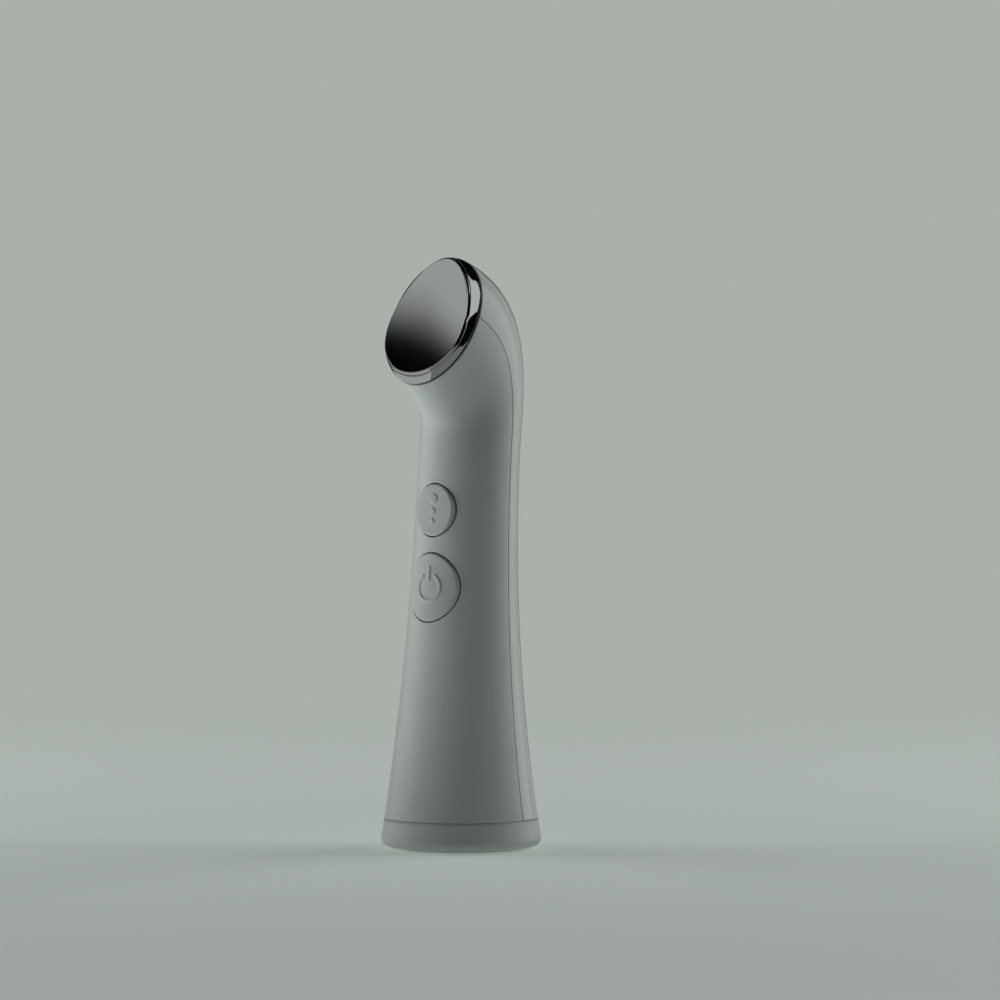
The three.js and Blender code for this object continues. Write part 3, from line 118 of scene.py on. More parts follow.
# Charging socket, in its slot in the rear shell
SOCKET_HEIGHT = 17.5
SOCKET_WIDTH = 8.9
SOCKET_THICKNESS = 3.2
SOCKET_MOUTH = 19.95                  # y of the can's open end
SOCKET_DEPTH = 7.3
SOCKET_WALL = 0.35
SLOT_WIDTH = 9.5
SLOT_THICKNESS = 3.8

# Fine fits that the plain solids don't show
SEAM_GAP = 0.1
EDGE_ROUND = 0.22
SHELL_END = -0.9                      # the shells end this far below the ring's edge
GASKET_TOP = -0.3


# Outline

def radius_at(z):
    return NECK_RADIUS + FOOT_FLARE * (1 - z / NECK_HEIGHT) ** FLARE_POWER


def lean_at(z):
    share = np.maximum(z - CAP_SEAM_HEIGHT, 0) / HANDLE_SPAN
    return NECK_LEAN * share ** 2


def heading(angle):
    """Direction in the side view (y, z) that looks back and down by an angle."""
    return np.array([math.cos(angle), -math.sin(angle)])


NECK_DIRECTION = np.array([2 * NECK_LEAN / HANDLE_SPAN, 1.0])
NECK_DIRECTION /= np.linalg.norm(NECK_DIRECTION)
RING_UP = heading(RING_TILT - math.pi / 2)
RING_OUT = -heading(RING_TILT)


def head_curve(side, pulls, angle):
    """The throat (side -1) or the crown (side 1), as four control points in the side view."""
    start = np.array([NECK_LEAN + side * NECK_RADIUS, NECK_HEIGHT])
    end = RING_MIDDLE + side * RING_UP * RING_LENGTH / 2
    return [start, start + NECK_DIRECTION * pulls[0], end + heading(math.radians(angle)) * pulls[1], end]


THROAT = head_curve(-1, THROAT_PULLS, THROAT_ANGLE)
CROWN = head_curve(1, CROWN_PULLS, CROWN_ANGLE)


def curve_point(curve, t, inset, side):
    """Point of a head curve, moved into the body by the inset."""
    a, b, c, d = curve
    t = np.asarray(t, float)[..., None]
    point = (1 - t) ** 3 * a + 3 * (1 - t) ** 2 * t * b + 3 * (1 - t) * t ** 2 * c + t ** 3 * d
    slope = (1 - t) ** 2 * (b - a) + 2 * (1 - t) * t * (c - b) + t ** 2 * (d - c)
    slope /= np.linalg.norm(slope, axis=-1, keepdims=True)
    inwards = -side * np.stack([slope[..., 1], -slope[..., 0]], -1)
    return point + inset * inwards


def smooth(share):
    share = np.clip(share, 0, 1)
    return share * share * (3 - 2 * share)


def section_at(stage, inset):
    """Front point, back point and half width. Stage runs 0 to 1 up the handle and 1 to 2 in the head."""
    stage = np.asarray(stage, float)
    height = CAP_SEAM_HEIGHT + HANDLE_SPAN * np.minimum(stage, 1)
    radius = radius_at(height) - inset
    front = np.stack([lean_at(height) - radius, height], -1)
    back = np.stack([lean_at(height) + radius, height], -1)
    t = np.maximum(stage - 1, 0)
    past_neck = (stage > 1)[..., None]
    front = np.where(past_neck, curve_point(THROAT, t, inset, -1), front)
    back = np.where(past_neck, curve_point(CROWN, t, inset, 1), back)
    widening = (RING_WIDTH / 2 - NECK_RADIUS) * smooth(t)
    half = NECK_RADIUS + widening - HEAD_WAIST * np.sin(math.pi * t) ** 2
    return front, back, np.where(stage > 1, half - inset, radius)


def body_point(stage, angle, inset):
    """Point of the body's skin. Angle is 0 at the front and grows towards +X."""
    front, back, half = section_at(stage, inset)
    share = ((1 - np.cos(angle)) / 2)[..., None]
    middle = front * (1 - share) + back * share
    return np.concatenate([(half * np.sin(angle))[..., None], middle], -1)


SEARCH_STAGES = (1.5, 2.3)            # the skin crosses every level near the ring between these
SEARCH_HALVINGS = 40


def stage_at_level(level, angle, inset):
    """Stage at which the skin crosses a level above or below the ring's edge."""
    low, high = [np.full(np.shape(angle), stage) for stage in SEARCH_STAGES]
    for _ in range(SEARCH_HALVINGS):
        middle = (low + high) / 2
        point = body_point(middle, angle, inset)
        below = (point[..., 1:] - RING_MIDDLE) @ RING_OUT < level
        low = np.where(below, middle, low)
        high = np.where(below, high, middle)
    return low


# Frames: local x, y, z are width, up along the surface, and out of it

def surface_frame(middle, look_up):
    turn = np.array(Matrix.Rotation(math.pi / 2 - look_up, 3, "X"))
    return lambda points: np.asarray(points) @ turn.T + middle


in_head = surface_frame(np.array([0, *RING_MIDDLE]), RING_TILT)
in_controls = surface_frame(CONTROLS_MIDDLE, WALL_TILT)
WALL_UP = np.array([0, math.sin(WALL_TILT), math.cos(WALL_TILT)])


def in_plate(points):
    turn = np.array(Matrix.Rotation(-PLATE_EXTRA_TILT, 3, "X"))
    return in_head(np.asarray(points) @ turn.T + [0, PLATE_SHIFT, PLATE_LIFT])


# Mesh building

def loft(loops, close=False):
    """Points and faces of a skin over loops with the same number of points."""
    count = len(loops[0])
    points = np.concatenate(loops)
    number = np.arange(len(points)).reshape(len(loops), count)
    after = np.roll(number, -1, axis=1)
    pairs = [(k, k + 1) for k in range(len(loops) - 1)]
    if close:
        pairs.append((len(loops) - 1, 0))
    faces = []
    for low, high in pairs:
        quads = np.stack([number[low], after[low], after[high], number[high]], -1)
        faces += quads.tolist()
    return points, faces, number


def capped(loops):
    """A loft with a fan of triangles to the middle of its first and last loop."""
    points, faces, number = loft(loops)
    middles = [loops[0].mean(0), loops[-1].mean(0)]
    for middle, ring in zip((len(points), len(points) + 1), (number[0], number[-1])):
        faces += [[middle, a, b] for a, b in zip(ring, np.roll(ring, -1))]
    return np.concatenate([points, middles]), faces


NEAR_AXIS = 0.01                      # radius at which a turned profile starts and ends


def turned(profile, sides=180):
    """A body of revolution about Z from (radius, height) points, closed at the axis."""
    angle = np.linspace(0, 2 * math.pi, sides, endpoint=False)
    loops = []
    for radius, height in profile:
        loops.append(np.stack([radius * np.cos(angle), radius * np.sin(angle), np.full(sides, height)], -1))
    return capped(loops)


def arc(middle, radius, start, end, count):
    """Points of an arc in a profile, with angles in degrees."""
    angles = np.radians(np.linspace(start, end, count))
    return [(middle[0] + radius * math.cos(a), middle[1] + radius * math.sin(a)) for a in angles]


BEVEL_ANGLE = math.radians(40)        # edges that turn by more than this are rounded


def piece(name, points, faces, material, slot, node=None, body="handle", edge=None):
    """An object that rides on a body, with its normals set outwards. It may replace a node's solid."""
    mesh = bpy.data.meshes.new(name)
    used = np.unique(np.concatenate([np.asarray(face) for face in faces]))
    renumber = {old: new for new, old in enumerate(used.tolist())}
    corners = (np.asarray(points)[used] * MM).tolist()
    mesh.from_pydata(corners, [], [[renumber[int(i)] for i in face] for face in faces])
    work = bmesh.new()
    work.from_mesh(mesh)
    bmesh.ops.recalc_face_normals(work, faces=work.faces)
    work.to_mesh(mesh)
    work.free()
    mesh.shade_smooth()
    obj = bpy.data.objects.new(name, mesh)
    bpy.context.scene.collection.objects.link(obj)
    mesh.materials.append(material)
    if edge:
        bevel = obj.modifiers.new("rounded_edges", "BEVEL")
        bevel.width = edge * MM
        bevel.segments = 3
        bevel.limit_method = "ANGLE"
        bevel.angle_limit = BEVEL_ANGLE
        obj.modifiers.new("flat_normals", "WEIGHTED_NORMAL")
    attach(obj, body)
    if node:
        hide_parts(node)


# Materials

NOISE_RANGE = (0.3, 0.7)              # where nearly all of a noise texture's values lie
MIX_FACTOR = 0                        # sockets of a mix node that mixes colours
MIX_COLORS = (6, 7)
MIX_RESULT = 2
RELIEF_STRENGTH = 0.6


def texture_place(nodes, links, stretch):
    place = nodes.new("ShaderNodeTexCoord")
    mapping = nodes.new("ShaderNodeMapping")
    mapping.inputs["Scale"].default_value = stretch
    links.new(place.outputs["Object"], mapping.inputs["Vector"])
    return mapping.outputs["Vector"]


def noise(nodes, links, place, scale, detail=3.0):
    texture = nodes.new("ShaderNodeTexNoise")
    texture.inputs["Scale"].default_value = scale
    texture.inputs["Detail"].default_value = detail
    links.new(place, texture.inputs["Vector"])
    return texture.outputs["Fac"]


def ranged(nodes, links, value, low, high):
    remap = nodes.new("ShaderNodeMapRange")
    remap.inputs["From Min"].default_value = NOISE_RANGE[0]
    remap.inputs["From Max"].default_value = NOISE_RANGE[1]
    remap.inputs["To Min"].default_value = low
    remap.inputs["To Max"].default_value = high
    links.new(value, remap.inputs["Value"])
    return remap.outputs["Result"]


def finish_material(name, color, roughness, grain=1500, patch=60, tint=0.03, bump=0.004,
                    stretch=(1, 1, 1), **settings):
    """A surface whose shade drifts over patches, and whose grain shows in roughness and relief.

    Color is linear, roughness a (low, high) pair, grain and patch are spots per metre, tint is the share
    by which the shade drifts, and bump the relief's height in millimetres. Settings go to the shader.
    """
    material = bpy.data.materials.new(name)
    material.use_nodes = True
    nodes, links = material.node_tree.nodes, material.node_tree.links
    shader = nodes["Principled BSDF"]
    place = texture_place(nodes, links, stretch)
    shade = nodes.new("ShaderNodeMix")
    shade.data_type = "RGBA"
    for socket, change in zip(MIX_COLORS, (-tint, tint)):
        shade.inputs[socket].default_value = (*[min(c * (1 + change), 1) for c in color], 1)
    patches = noise(nodes, links, place, patch)
    links.new(ranged(nodes, links, patches, 0, 1), shade.inputs[MIX_FACTOR])
    links.new(shade.outputs[MIX_RESULT], shader.inputs["Base Color"])
    fine = noise(nodes, links, place, grain, detail=5.0)
    links.new(ranged(nodes, links, fine, *roughness), shader.inputs["Roughness"])
    relief = nodes.new("ShaderNodeBump")
    relief.inputs["Strength"].default_value = RELIEF_STRENGTH
    relief.inputs["Distance"].default_value = bump * MM
    links.new(fine, relief.inputs["Height"])
    links.new(relief.outputs["Normal"], shader.inputs["Normal"])
    for socket, value in settings.items():
        shader.inputs[socket.replace("_", " ").title()].default_value = value
    return material


MATERIALS = {
    "shell": finish_material("shell_plastic", (0.49, 0.525, 0.503), (0.30, 0.38), tint=0.015, bump=0.002),
    "shell_gloss": finish_material("shell_plastic_glossy", (0.52, 0.55, 0.53), (0.16, 0.22), tint=0.012,
                                   bump=0.001, coat_weight=0.35, coat_roughness=0.06),
    "button": finish_material("button_plastic", (0.465, 0.495, 0.478), (0.34, 0.42), tint=0.015, bump=0.003),
    "foot": finish_material("foot_silicone", (0.42, 0.43, 0.43), (0.55, 0.75), grain=2600, bump=0.012),
    "chrome": finish_material("ring_chrome", (0.80, 0.81, 0.82), (0.03, 0.06), tint=0.01, bump=0.0004,
                              metallic=1.0),
    "plate": finish_material("plate_metal", (0.72, 0.73, 0.73), (0.08, 0.11), grain=2600, tint=0.01,
                             bump=0.0001, stretch=(1, 1, 0.25), metallic=1.0),
    "gasket": finish_material("gasket_rubber", (0.02, 0.02, 0.022), (0.5, 0.7), bump=0.006),
    "foam": finish_material("insulator_foam", (0.8, 0.77, 0.7), (0.85, 0.98), grain=900, bump=0.08),
    "frame": finish_material("frame_nylon", (0.03, 0.032, 0.035), (0.45, 0.6), bump=0.008),
    "plunger": finish_material("white_plastic", (0.8, 0.8, 0.77), (0.3, 0.45), bump=0.003),
    "chip": finish_material("black_epoxy", (0.012, 0.012, 0.013), (0.45, 0.6), grain=3000, bump=0.006),
    "ferrite": finish_material("dark_ferrite", (0.025, 0.025, 0.027), (0.5, 0.7), grain=3500, bump=0.01),
    "board": finish_material("board_lacquer", (0.01, 0.1, 0.045), (0.25, 0.35), tint=0.12, patch=400,
                             coat_weight=0.3),
    "steel": finish_material("zinc_steel", (0.5, 0.5, 0.51), (0.25, 0.4), grain=1200, metallic=1.0),
    "nickel": finish_material("nickel_sheet", (0.62, 0.6, 0.55), (0.18, 0.3), grain=1800, metallic=1.0),
    "motor": finish_material("motor_can", (0.42, 0.42, 0.43), (0.25, 0.38), stretch=(6, 6, 1), metallic=1.0),
    "brass": finish_material("contact_brass", (0.72, 0.5, 0.2), (0.2, 0.32), metallic=1.0),
    "heater": finish_material("heater_film", (0.7, 0.42, 0.12), (0.2, 0.35), tint=0.1, coat_weight=0.4),
    "cell": finish_material("cell_film", (0.03, 0.12, 0.35), (0.2, 0.32), tint=0.06, coat_weight=0.3),
    "lead_red": finish_material("red_insulation", (0.45, 0.02, 0.015), (0.45, 0.6)),
    "lead_black": finish_material("black_insulation", (0.015, 0.015, 0.015), (0.45, 0.6)),
    "lead_white": finish_material("white_insulation", (0.75, 0.75, 0.73), (0.45, 0.6)),
}

for part in frame["record"]["subparts"]:
    node = frame["nodes"][part["node"]]
    node.data.materials.clear()
    node.data.materials.append(MATERIALS[part["material_slot"]])


# Shells: a wall whose outer and inner side share one layout of rows and columns

ROWS_IN_HEAD = 48
ROW_SPACING = 1.2                     # in the handle
COLUMNS = 72
OPENING_RINGS = (0.3, 0.58, 0.82, 1.0)  # shares of the way from the layout's cells to an opening's rim
WALL_ROUNDS = 8                       # that bring a point of an opening onto the leaning wall


def rows_through(levels):
    """Stages of the rows: up the handle through the given heights, then through the head."""
    heights = []
    for low, high in zip(levels, levels[1:]):
        steps = max(2, round((high - low) / ROW_SPACING))
        heights += np.linspace(low, high, steps + 1)[:-1].tolist()
    handle = [(height - CAP_SEAM_HEIGHT) / HANDLE_SPAN for height in heights]
    return np.array(handle + np.linspace(1, 2, ROWS_IN_HEAD + 1).tolist())


def row_at(rows, height):
    """Number of the row at a height of the handle."""
    return int(np.argmin(np.abs(rows * HANDLE_SPAN + CAP_SEAM_HEIGHT - height)))


def wall_points(rows, shares, inset, front):
    """Grid of points on one side of a shell's wall. Shares run -1 to 1 from seam to seam."""
    points = []
    for row in rows:
        stage = np.full(len(shares), row)
        angle = wall_angle(stage, shares, inset, front)
        if row > 1:
            end = stage_at_level(SHELL_END, angle, inset)
            stage = 1 + (end - 1) * (row - 1)
            angle = wall_angle(stage, shares, inset, front)
        points.append(body_point(stage, angle, inset))
    return np.array(points)


def wall_angle(stage, shares, inset, front):
    """Angle round the body for each column, kept level with the seam on both sides of the wall."""
    near, far, _ = section_at(stage, inset)
    half = np.linalg.norm(far - near, axis=-1) / 2
    if front:
        return shares * np.arccos(-(SEAM_SETBACK - SEAM_GAP / 2) / half)
    return math.pi + shares * (math.pi - np.arccos(-(SEAM_SETBACK + SEAM_GAP / 2) / half))


class OvalOpening:
    """An oval hole through the front wall, square to the buttons' faces."""

    def __init__(self, level, width, length, **_):
        self.level = level
        self.half = (width / 2 + BUTTON_GAP, length / 2 + BUTTON_GAP)

    def flat(self, points):
        return np.stack([points[:, 0], (points - CONTROLS_MIDDLE) @ WALL_UP - self.level], -1)

    def rim(self, flat):
        angle = np.arctan2(flat[:, 1] / self.half[1], flat[:, 0] / self.half[0])
        return np.stack([self.half[0] * np.cos(angle), self.half[1] * np.sin(angle)], -1)

    def on_wall(self, flat, inset):
        """Points on the wall. Their depth and height follow from each other, so both are refined."""
        x, up = flat[:, 0], flat[:, 1] + self.level
        z = CONTROLS_MIDDLE[2] + up * WALL_UP[2]
        for _ in range(WALL_ROUNDS):
            y = lean_at(z) - np.sqrt((radius_at(z) - inset) ** 2 - x ** 2)
            z = CONTROLS_MIDDLE[2] + (up - (y - CONTROLS_MIDDLE[1]) * WALL_UP[1]) / WALL_UP[2]
        return np.stack([x, y, z], -1)


class SlotOpening:
    """A hole with round ends through the rear wall, straight along y."""

    def flat(self, points):
        return np.stack([points[:, 0], points[:, 2] - SOCKET_HEIGHT], -1)

    def rim(self, flat):
        return slot_outline(flat, SLOT_WIDTH, SLOT_THICKNESS)

    def on_wall(self, flat, inset):
        x, z = flat[:, 0], flat[:, 1] + SOCKET_HEIGHT
        y = lean_at(z) + np.sqrt((radius_at(z) - inset) ** 2 - x ** 2)
        return np.stack([x, y, z], -1)


def slot_outline(flat, width, height):
    """The nearest point of a round-ended slot's outline, for each point outside it."""
    side = (width - height) / 2
    core = np.stack([np.clip(flat[:, 0], -side, side), np.zeros(len(flat))], -1)
    away = flat - core
    return core + away / np.linalg.norm(away, axis=1, keepdims=True) * height / 2


def border_of(first_row, last_row, first_column, last_column, width):
    """Numbers of the grid points round a rectangle of cells, in order."""
    loop = [(first_row, c) for c in range(first_column, last_column)]
    loop += [(r, last_column) for r in range(first_row, last_row)]
    loop += [(last_row, c) for c in range(last_column, first_column, -1)]
    loop += [(r, first_column) for r in range(last_row, first_row, -1)]
    return np.array([r * width + c for r, c in loop])


def shell(rows, front, openings):
    """Points and faces of a shell. Each opening is (shape, lowest row, highest row, columns each side)."""
    shares = np.linspace(-1, 1, COLUMNS + 1)
    width = COLUMNS + 1
    sides = [wall_points(rows, shares, inset, front).reshape(-1, 3) for inset in (0, WALL)]
    cells = np.ones((len(rows) - 1, COLUMNS), bool)
    faces = []
    for shape, low, high, reach in openings:
        left, right = COLUMNS // 2 - reach, COLUMNS // 2 + reach
        cells[low:high, left:right] = False
        previous = border_of(low, high, left, right, width)
        rim = shape.rim(shape.flat(sides[0][previous]))
        starts = [shape.flat(side[previous]) for side in sides]
        for share in OPENING_RINGS:
            ring = np.arange(len(previous)) + len(sides[0])
            for i, inset in enumerate((0, WALL)):
                flat = starts[i] * (1 - share) + rim * share
                sides[i] = np.concatenate([sides[i], shape.on_wall(flat, inset)])
            quads = np.stack([previous, np.roll(previous, -1), np.roll(ring, -1), ring], -1)
            faces += quads.tolist()
            previous = ring
    for r, c in zip(*np.nonzero(cells)):
        corner = r * width + c
        faces.append([corner, corner + 1, corner + width + 1, corner + width])
    return close_wall(sides, faces)


def close_wall(sides, faces):
    """Joins the outer and inner side along every free edge."""
    inner = len(sides[0])
    edges = {}
    for face in faces:
        for a, b in zip(face, face[1:] + face[:1]):
            key = (min(a, b), max(a, b))
            edges[key] = None if key in edges else (a, b)
    rims = [[b, a, a + inner, b + inner] for a, b in filter(None, edges.values())]
    inside = [[i + inner for i in reversed(face)] for face in faces]
    return np.concatenate(sides), faces + inside + rims


SHELL_BOTTOM = CAP_SEAM_HEIGHT + SEAM_GAP
BUTTON_BORDERS = (60.6, 85.1, 105.4)  # heights of the rows below, between and above the buttons
SLOT_MARGIN = 5.2
SLOT_BORDERS = (SOCKET_HEIGHT - SLOT_MARGIN, SOCKET_HEIGHT + SLOT_MARGIN)
POWER_COLUMNS = 18                    # columns that an opening takes up on each side of the middle
MODE_COLUMNS = 15
SLOT_COLUMNS = 10

front_rows = rows_through([SHELL_BOTTOM, *BUTTON_BORDERS, NECK_HEIGHT])
below, between, above = [row_at(front_rows, height) for height in BUTTON_BORDERS]
front_openings = [
    (OvalOpening(**BUTTONS["power"]), below, between, POWER_COLUMNS),
    (OvalOpening(**BUTTONS["mode"]), between, above, MODE_COLUMNS),
]
piece("front_shell_skin", *shell(front_rows, True, front_openings), MATERIALS["shell"],
      node="front_shell", slot="shell", edge=EDGE_ROUND)

rear_rows = rows_through([SHELL_BOTTOM, *SLOT_BORDERS, NECK_HEIGHT])
below, above = [row_at(rear_rows, height) for height in SLOT_BORDERS]
rear_openings = [(SlotOpening(), below, above, SLOT_COLUMNS)]
piece("rear_shell_skin", *shell(rear_rows, False, rear_openings), MATERIALS["shell_gloss"],
      node="rear_shell", slot="shell", edge=EDGE_ROUND)


# Base cap and foot pad

def base_cap():
    floor_under, floor_top = CAP_FLOOR
    edge_height = FOOT_STANDOUT + EDGE_ROUND
    corner_top = FOOT_STANDOUT + CAP_CORNER
    corner_middle = (radius_at(corner_top) - CAP_CORNER, corner_top)
    side_top = CAP_SEAM_HEIGHT - EDGE_ROUND
    side = [(radius_at(z), z) for z in np.linspace(corner_top, side_top, num=9)[1:]]
    rim = radius_at(CAP_SEAM_HEIGHT)
    return turned([
        (NEAR_AXIS, floor_under),
        (FOOT_RECESS, floor_under),
        (FOOT_RECESS, edge_height),
        *arc((FOOT_RECESS + EDGE_ROUND, edge_height), EDGE_ROUND, 180, 270, count=4),
        *arc(corner_middle, CAP_CORNER, -90, 0, count=12),
        *side,
        *arc((rim - EDGE_ROUND, side_top), EDGE_ROUND, 0, 90, count=5),
        (rim - WALL, CAP_SEAM_HEIGHT),
        (rim - WALL, floor_top),
        (NEAR_AXIS, floor_top),
    ])


def foot_pad():
    return turned([
        (NEAR_AXIS, 0),
        *arc((FOOT_RADIUS - FOOT_EDGE, FOOT_EDGE), FOOT_EDGE, -90, 0, count=6),
        (FOOT_RADIUS, FOOT_THICKNESS),
        (NEAR_AXIS, FOOT_THICKNESS),
    ])


piece("base_cap_skin", *base_cap(), MATERIALS["shell"], node="base_cap", slot="shell")
piece("foot_pad_skin", *foot_pad(), MATERIALS["foot"], node="foot_pad", slot="foot")


# Head: gasket, ring and plate, all drawn as loops round the head

HEAD_SIDES = 224
HEAD_ANGLES = np.linspace(0, 2 * math.pi, HEAD_SIDES, endpoint=False)

# Gasket: insets are from the body's skin
GASKET_BOTTOM = SHELL_END + 0.05      # just clear of the shells' ends
GASKET_INSETS = (0.36, 1.6)           # of its outer and its inner side
GASKET_EDGE = 0.06

# Ring: insets and levels are from its own edge as far as the band, and from the plate's after that
COLLAR_DEPTH = 5.0
COLLAR_INSETS = (2.6, 4.4)            # of its outer and its inner side
COLLAR_DRAFT = 0.2
RING_UNDERSIDE = -0.24
RING_FOOT = [(RING_UNDERSIDE, 0.3), (-0.12, 0.13), (-0.02, 0.02)]  # levels and insets of its lower edge
BAND_BULGE = 0.05                     # how far the band stands out, as a share of its height
BAND_END = -0.18
BAND_LOOPS = 25
PLATE_GAP = 0.08                      # between the plate's edge and the ring
GAP_EDGE = (0.02, 0.03)               # inset and drop of the bevel where the band turns into the gap
SEAT_DROP = 0.3                       # from the plate's underside to the gap's end, and on to the ledge
LEDGE_INSETS = (1.2, 3.9)
WELL_BOTTOM = -3.0

# Plate: a plug on its back, an edge with a rounded foot, a soft bevel and a domed face
PLUG_INSET = 4.2
PLUG_DEPTH = 2.2
PLATE_FOOT = [(0.35, 0), (0.12, 0.08), (0.02, 0.25)]  # insets and heights above the underside
BEVEL_REACH = 0.55                    # how far in the bevel reaches
BEVEL_FALL = 0.9                      # and how far it falls towards the edge
BEVEL_TURN = math.radians(50)         # its lean at the edge, from the plate's own plane
BEVEL_LOOPS = 12
EDGE_TOP = 0.06                       # how far below the bevel the upright edge ends
FACE_LOOPS = 40
FACE_MIDDLE = 0.02                    # the share of the face's outline that its innermost loop has


def head_loop(level, inset):
    """Loop on the body's skin at a level above the ring's edge."""
    return body_point(stage_at_level(level, HEAD_ANGLES, inset), HEAD_ANGLES, inset)


def oval_loop(level, inset):
    x = (RING_WIDTH / 2 - inset) * np.sin(HEAD_ANGLES)
    y = -(RING_LENGTH / 2 - inset) * np.cos(HEAD_ANGLES)
    return in_head(np.stack([x, y, np.full(HEAD_SIDES, level)], -1))


def egg_outline(inset):
    x = (PLATE_WIDTH / 2 - inset) * np.sin(HEAD_ANGLES) * (1 + PLATE_TAPER * np.cos(HEAD_ANGLES))
    y = -(PLATE_LENGTH / 2 - inset) * np.cos(HEAD_ANGLES)
    return x, y


def egg_loop(inset, height):
    x, y = egg_outline(inset)
    return in_plate(np.stack([x, y, np.broadcast_to(height, x.shape)], -1))


def gasket():
    outer, inner = GASKET_INSETS
    section = [
        (GASKET_BOTTOM, inner),
        (GASKET_BOTTOM, outer + GASKET_EDGE),
        (GASKET_BOTTOM + GASKET_EDGE, outer),
        (GASKET_TOP - GASKET_EDGE, outer),
        (GASKET_TOP, outer + GASKET_EDGE),
        (GASKET_TOP, inner),
    ]
    return loft([head_loop(level, inset) for level, inset in section], close=True)[:2]


def ring_band():
    """The bright band from the ring's edge to the plate's, bulging a little in between."""
    start, end = oval_loop(0, 0), egg_loop(-PLATE_GAP, BAND_END)
    around = np.roll(start, -1, axis=0) - np.roll(start, 1, axis=0)
    outwards = np.cross(around, end - start)
    outwards /= np.linalg.norm(outwards, axis=1, keepdims=True)
    height = np.linalg.norm(end - start, axis=1, keepdims=True)
    loops = []
    for turn in np.linspace(0, math.pi, BAND_LOOPS):
        share = (1 - math.cos(turn)) / 2
        bulge = BAND_BULGE * height * (1 - (2 * share - 1) ** 4)
        loops.append(start * (1 - share) + end * share + bulge * outwards)
    return loops


def head_ring():
    outer, inner = COLLAR_INSETS
    collar = [oval_loop(-COLLAR_DEPTH, inner), oval_loop(-COLLAR_DEPTH, outer),
              oval_loop(RING_UNDERSIDE, outer - COLLAR_DRAFT)]
    foot = [oval_loop(level, inset) for level, inset in RING_FOOT]
    gap_end = -PLATE_EDGE - SEAT_DROP
    gap_inset = GAP_EDGE[0] - PLATE_GAP
    gap = [egg_loop(gap_inset, BAND_END - GAP_EDGE[1]), egg_loop(gap_inset, gap_end)]
    ledge = [egg_loop(inset, gap_end - SEAT_DROP) for inset in LEDGE_INSETS]
    well = egg_loop(LEDGE_INSETS[1], WELL_BOTTOM)
    return loft([*collar, *foot, *ring_band(), *gap, *ledge, well], close=True)[:2]


def plate_bevel():
    """An arc stretched to the bevel's reach and fall, which runs into the face at the face's own slope."""
    x, y = egg_outline(BEVEL_REACH)
    around = np.stack([np.roll(x, -1) - np.roll(x, 1), np.roll(y, -1) - np.roll(y, 1)], -1)
    around /= np.linalg.norm(around, axis=1, keepdims=True)
    to_middle = np.abs(x * around[:, 1] - y * around[:, 0])
    last = np.arctan(2 * (PLATE_DOME - PLATE_CROWN) / to_middle)
    low = PLATE_CROWN - BEVEL_FALL
    loops = [egg_loop(0, low - EDGE_TOP)]
    for share in np.linspace(0, 1, BEVEL_LOOPS):
        lean = BEVEL_TURN + (last - BEVEL_TURN) * share
        inwards = (np.sin(BEVEL_TURN) - np.sin(lean)) / (np.sin(BEVEL_TURN) - np.sin(last))
        upwards = (np.cos(lean) - np.cos(BEVEL_TURN)) / (np.cos(last) - np.cos(BEVEL_TURN))
        loops.append(egg_loop(BEVEL_REACH * inwards, low + BEVEL_FALL * upwards))
    return loops


def plate_face():
    x, y = egg_outline(BEVEL_REACH)
    loops = []
    for share in np.linspace(1, FACE_MIDDLE, FACE_LOOPS)[1:]:
        height = PLATE_CROWN + (PLATE_DOME - PLATE_CROWN) * (1 - share * share)
        loops.append(in_plate(np.stack([x * share, y * share, np.full(HEAD_SIDES, height)], -1)))
    return loops


def contact_plate():
    plug = [egg_loop(PLUG_INSET, -PLUG_DEPTH), egg_loop(PLUG_INSET, -PLATE_EDGE)]
    foot = [egg_loop(inset, height - PLATE_EDGE) for inset, height in PLATE_FOOT]
    return capped([*plug, *foot, *plate_bevel(), *plate_face()])


piece("head_gasket_skin", *gasket(), MATERIALS["gasket"], node="head_gasket", slot="gasket")
piece("head_ring_skin", *head_ring(), MATERIALS["chrome"], node="head_ring", slot="chrome")
piece("contact_plate_skin", *contact_plate(), MATERIALS["plate"], node="contact_plate", slot="plate")


# Buttons: a crowned oval face with rounded edge and raised marks

def to_segment(x, y, low, high):
    """Distance to an upright line between two heights."""
    return np.hypot(x, y - np.clip(y, low, high))


def power_mark(x, y):
    """Distance outside the power symbol's line; negative inside it."""
    half = POWER_MARK_LINE / 2
    angle = np.arctan2(x, y)
    end = POWER_MARK_GAP / 2
    on_arc = np.abs(np.hypot(x, y) - POWER_MARK_RADIUS)
    ends = np.hypot(np.abs(x) - POWER_MARK_RADIUS * math.sin(end), y - POWER_MARK_RADIUS * math.cos(end))
    ring = np.where(np.abs(angle) < end, ends, on_arc)
    bar = to_segment(x, y, POWER_BAR[0] + half, POWER_BAR[1] - half)
    return np.minimum(ring, bar) - half


def mode_mark(x, y):
    """Distance outside the nearest of the three dots."""
    return np.min([np.hypot(x, y - level) - radius for level, radius in MODE_DOTS], axis=0)


BUTTON_SIDES = 256
BUTTON_EDGE_LOOPS = 9
BUTTON_FACE_LOOPS = 84
BUTTON_FACE_MIDDLE = 0.01             # the share of the face's outline that its innermost loop has


